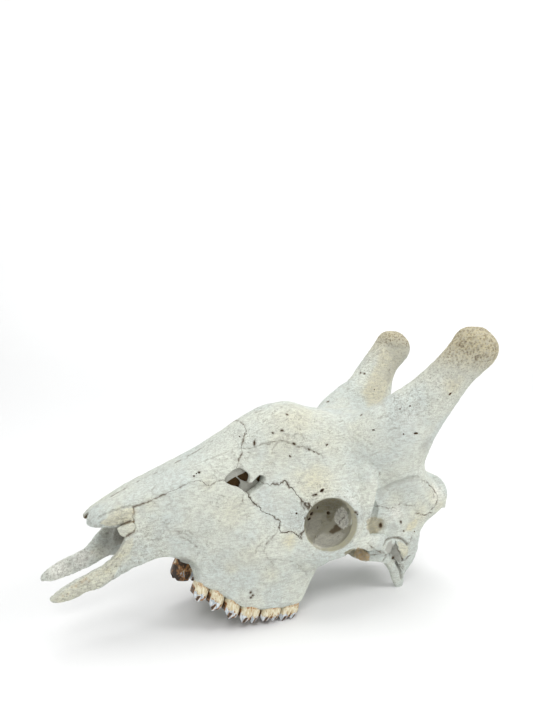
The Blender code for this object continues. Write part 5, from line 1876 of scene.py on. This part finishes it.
# Darker and lighter tone of the suture's walls, the crowns' cement and their enamel
SUTURE_TONES = ((0.10, 0.06, 0.03, 1), (0.24, 0.17, 0.10, 1))
CEMENT_TONES = ((0.56, 0.46, 0.28, 1), (0.76, 0.72, 0.56, 1))
ENAMEL_TONES = ((0.36, 0.41, 0.45, 1), (0.68, 0.72, 0.74, 1))
TOOTH_BROWN = (0.36, 0.17, 0.055, 1)
TOOTH_BLACK = (0.045, 0.028, 0.016, 1)
FLOOR_TONES = ((0.83, 0.83, 0.83, 1), (0.85, 0.85, 0.85, 1))
# tones painted over the ground in order; light is painted light, grey and olive are painted shade, and cool
# and deep are partly painted shade
PAINTED_TONES = ("cool_tone_and_shade", "warm", "knob", "band", "socket", "deep", "painted_shade", "olive_shade", "painted_light", "brown")


# Floor, light and camera
def studio():
    """Plain pale floor and soft light from above and the front left."""
    bm = bmesh.new()
    bmesh.ops.create_circle(bm, cap_ends=True, segments=96, radius=FLOOR_CURVE[0][0])
    edges = list(bm.edges)
    for radius, height in FLOOR_CURVE[1:]:
        grown_edge = bmesh.ops.extrude_edge_only(bm, edges=edges)["geom"]
        edges = [item for item in grown_edge if isinstance(item, bmesh.types.BMEdge)]
        for vert in {vert for edge in edges for vert in edge.verts}:
            flat = vert.co.xy.normalized() * radius
            vert.co = (flat.x, flat.y, height)
    bmesh.ops.recalc_face_normals(bm, faces=bm.faces)
    floor = from_bmesh("studio_floor", bm)
    floor.data.shade_smooth()
    material, bench, shader, at = new_material("studio floor")
    bench.wire(bench.blend(bench.noise(at, 0.7, 1.0), *FLOOR_TONES), shader.inputs["Base Color"])
    shader.inputs["Roughness"].default_value = 0.9
    floor.data.materials.append(material)
    world = bpy.data.worlds.new("studio")
    world.use_nodes = True
    world.node_tree.nodes["Background"].inputs["Color"].default_value = (0.99, 1.0, 1.0, 1)
    world.node_tree.nodes["Background"].inputs["Strength"].default_value = 0.68
    bpy.context.scene.world = world
    for name, place, aim, size, power in LAMPS:
        data = bpy.data.lights.new(name, "AREA")
        data.shape, data.size, data.energy = "DISK", size, power
        lamp = bpy.data.objects.new(name, data)
        bpy.context.scene.collection.objects.link(lamp)
        lamp.location = place
        lamp.rotation_euler = (Vector(aim) - Vector(place)).to_track_quat("-Z", "Y").to_euler()


# Floor's outline from its flat middle up the curve of the backdrop: radius, height
FLOOR_CURVE = ((3.0, 0.0), (3.8, 0.08), (4.5, 0.35), (5.0, 0.8), (5.3, 1.5), (5.4, 2.6), (5.4, 3.2))
LAMPS = (
    # name, place, aim, diameter, power
    ("key", (-1.3, -1.9, 2.6), (0, 0, 0.2), 1.2, 26),
    ("side", (1.9, -1.5, 1.9), (0.1, 0, 0.2), 1.2, 29),
    ("top", (0.2, 0.4, 2.6), (0, 0, 0.2), 1.8, 26),
    ("backdrop", (1.6, 2.4, 3.0), (2.6, 5.2, 1.2), 1.6, 70),
)


def photo_camera():
    right, down, ahead = photo_axes()
    turn = Matrix((right, -down, -ahead)).transposed()
    data = bpy.data.cameras.new("photo camera")
    camera = bpy.data.objects.new("photo camera", data)
    bpy.context.scene.collection.objects.link(camera)
    camera.location = PLACE @ PHOTO_EYE
    camera.rotation_euler = (Matrix.Rotation(PITCH, 3, "Y") @ turn).to_euler()
    data.sensor_fit = "VERTICAL"
    data.sensor_height = 24
    data.lens = data.sensor_height * PHOTO_FOCUS / PHOTO_SIZE[1]
    data.clip_start, data.clip_end = 0.05, 100
    bpy.context.scene.camera = camera


# Making
def kept_inside(mesh):
    """Eases what stands past the CAD model's box back to it."""
    points = vertex_points(mesh)
    low, high = (np.array(corner) for corner in CAD_BOX)
    over = np.maximum(points - high + BOX_EASE, 0)
    points -= over - BOX_EASE * (1 - np.exp(-over / BOX_EASE))
    under = np.maximum(low + BOX_EASE - points, 0)
    under[:, 2] = np.maximum(low[2] - points[:, 2], 0)
    eased_back = BOX_EASE * (1 - np.exp(-under / BOX_EASE))
    eased_back[:, 2] = 0
    points += under - eased_back
    mesh.vertices.foreach_set("co", points.ravel())


def tint_places(surface, places):
    """A tone's patches in the skull's frame, with fainter ones on the far side."""
    found = []
    for u, v, radius, strength in places:
        hit, _ = seen(surface, u, v)
        if hit:
            found.append((hit, radius, strength))
        if hit and hit.y < 0:
            found.append((Vector((hit.x, -hit.y, hit.z)), radius * 0.9, strength * FAR_PAINT))
    return found


def flat_bit(name, outline, across):
    """A thin plate that fills an outline of the photograph, upright at a distance from the midline."""
    return slab(name, upright(outline, across[0]), *across)


def loose_bits():
    """Small bodies that belong to bones, by node name, each with its tone."""
    # the plate inside the gap is painted grey as shade
    plate = flat_bit("plate", PLATE, PLATE_ACROSS)
    for hole in PLATE_HOLES:
        cutter = flat_bit("hole", hole, (PLATE_ACROSS[0] - 1, PLATE_ACROSS[1] + 1))
        plate = combined(plate, cutter, "DIFFERENCE")
    # the plate behind it is painted dark brown, standing in for the shade of a deep hollow
    near = [(plate, "painted_shade", 0.85), (flat_bit("shadow_plate", SHADOW_PLATE, SHADOW_PLATE_ACROSS), "stain", 1.0)]
    far = []
    for bit, tone, strength in near:
        twin = link(bit.name, bit.data.copy())
        twin.data.transform(Matrix.Diagonal((1, -1, 1, 1)))
        twin.data.flip_normals()
        far.append((twin, tone, strength))
    return {
        "premaxilla_left": [(flat_bit("chip", CHIP, CHIP_ACROSS), "warm", 0.5)],
        "lacrimal_left": near,
        "lacrimal_right": far,
    }


def with_bits(bone, bits):
    """Adds small rounded bodies to a bone's mesh."""
    bm = bmesh.new()
    bm.from_mesh(bone.data)
    for bit, tone, strength in bits:
        bit = softened(fused(bit, FINE / 2), 3)
        write_values(bit.data, tone, np.full(len(bit.data.vertices), strength))
        bm.from_mesh(bit.data)
        bpy.data.objects.remove(bit, do_unlink=True)
    bm.to_mesh(bone.data)
    bm.free()


def skin_tree(item):
    """An object's skin in the form that rays and distances are measured against."""
    bm = bmesh.new()
    bm.from_mesh(item.data)
    tree = BVHTree.FromBMesh(bm)
    bm.free()
    return tree


def main():
    grain = bone_grain()
    suture_material(grain)
    bone_stuff = bone_material("dry bone", grain, BONE_TONES)
    knob_stuff = bone_material("dry ossicone bone", grain, BONE_TONES)
    tooth_stuff = tooth_material(grain)
    skull = whole_skull()
    surface = skin_tree(skull)
    skull = opened(skull, surface)
    finished = skin_tree(skull)
    cavity = nasal_cavity()
    nose = skin_tree(cavity)
    bpy.data.objects.remove(cavity, do_unlink=True)
    patches = {kind: tint_places(finished, places) for kind, places in TINTS.items()}
    tree, paint = sculpted(skull, finished, crack_marks(finished), patches, nose)
    skull = worn_flat(holed(skull, finished))
    draw = random.Random(SEED + 2)
    for side_name, side in SIDES.items():
        row = tooth_row(f"cheek_teeth_{side_name}", side, draw)
        row.data.materials.clear()
        row.data.materials.append(tooth_stuff)
        row.data.transform(PLACE)
        kept_inside(row.data)
        row.data.shade_smooth()
        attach(row, "root")
        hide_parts(f"maxilla_{side_name}")
    bones = parted(skull, surface)
    for bone in bones.values():
        suture_dirt(bone.data, tree, paint["stain"])
    bits = loose_bits()
    for name, bone in bones.items():
        bone.name = f"{name}_bone"
        painted(bone.data, tree, paint)
        if name in bits:
            with_bits(bone, bits[name])
        stuff, slot = (knob_stuff, "ossicone_bone") if "ossicone" in name else (bone_stuff, "bone")
        for k, old in enumerate(bone.data.materials):
            if old is None or old.name != "suture bone":
                bone.data.materials[k] = stuff
        if not bone.data.materials:
            bone.data.materials.append(stuff)
        bone.data.transform(PLACE)
        kept_inside(bone.data)
        bone.data.shade_smooth()
        bone.data.set_sharp_from_angle(angle=math.radians(SHARP_ANGLE))
        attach(bone, "root")
        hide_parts(name)
    studio()
    photo_camera()
    bpy.context.scene.view_settings.view_transform = "Standard"


main()
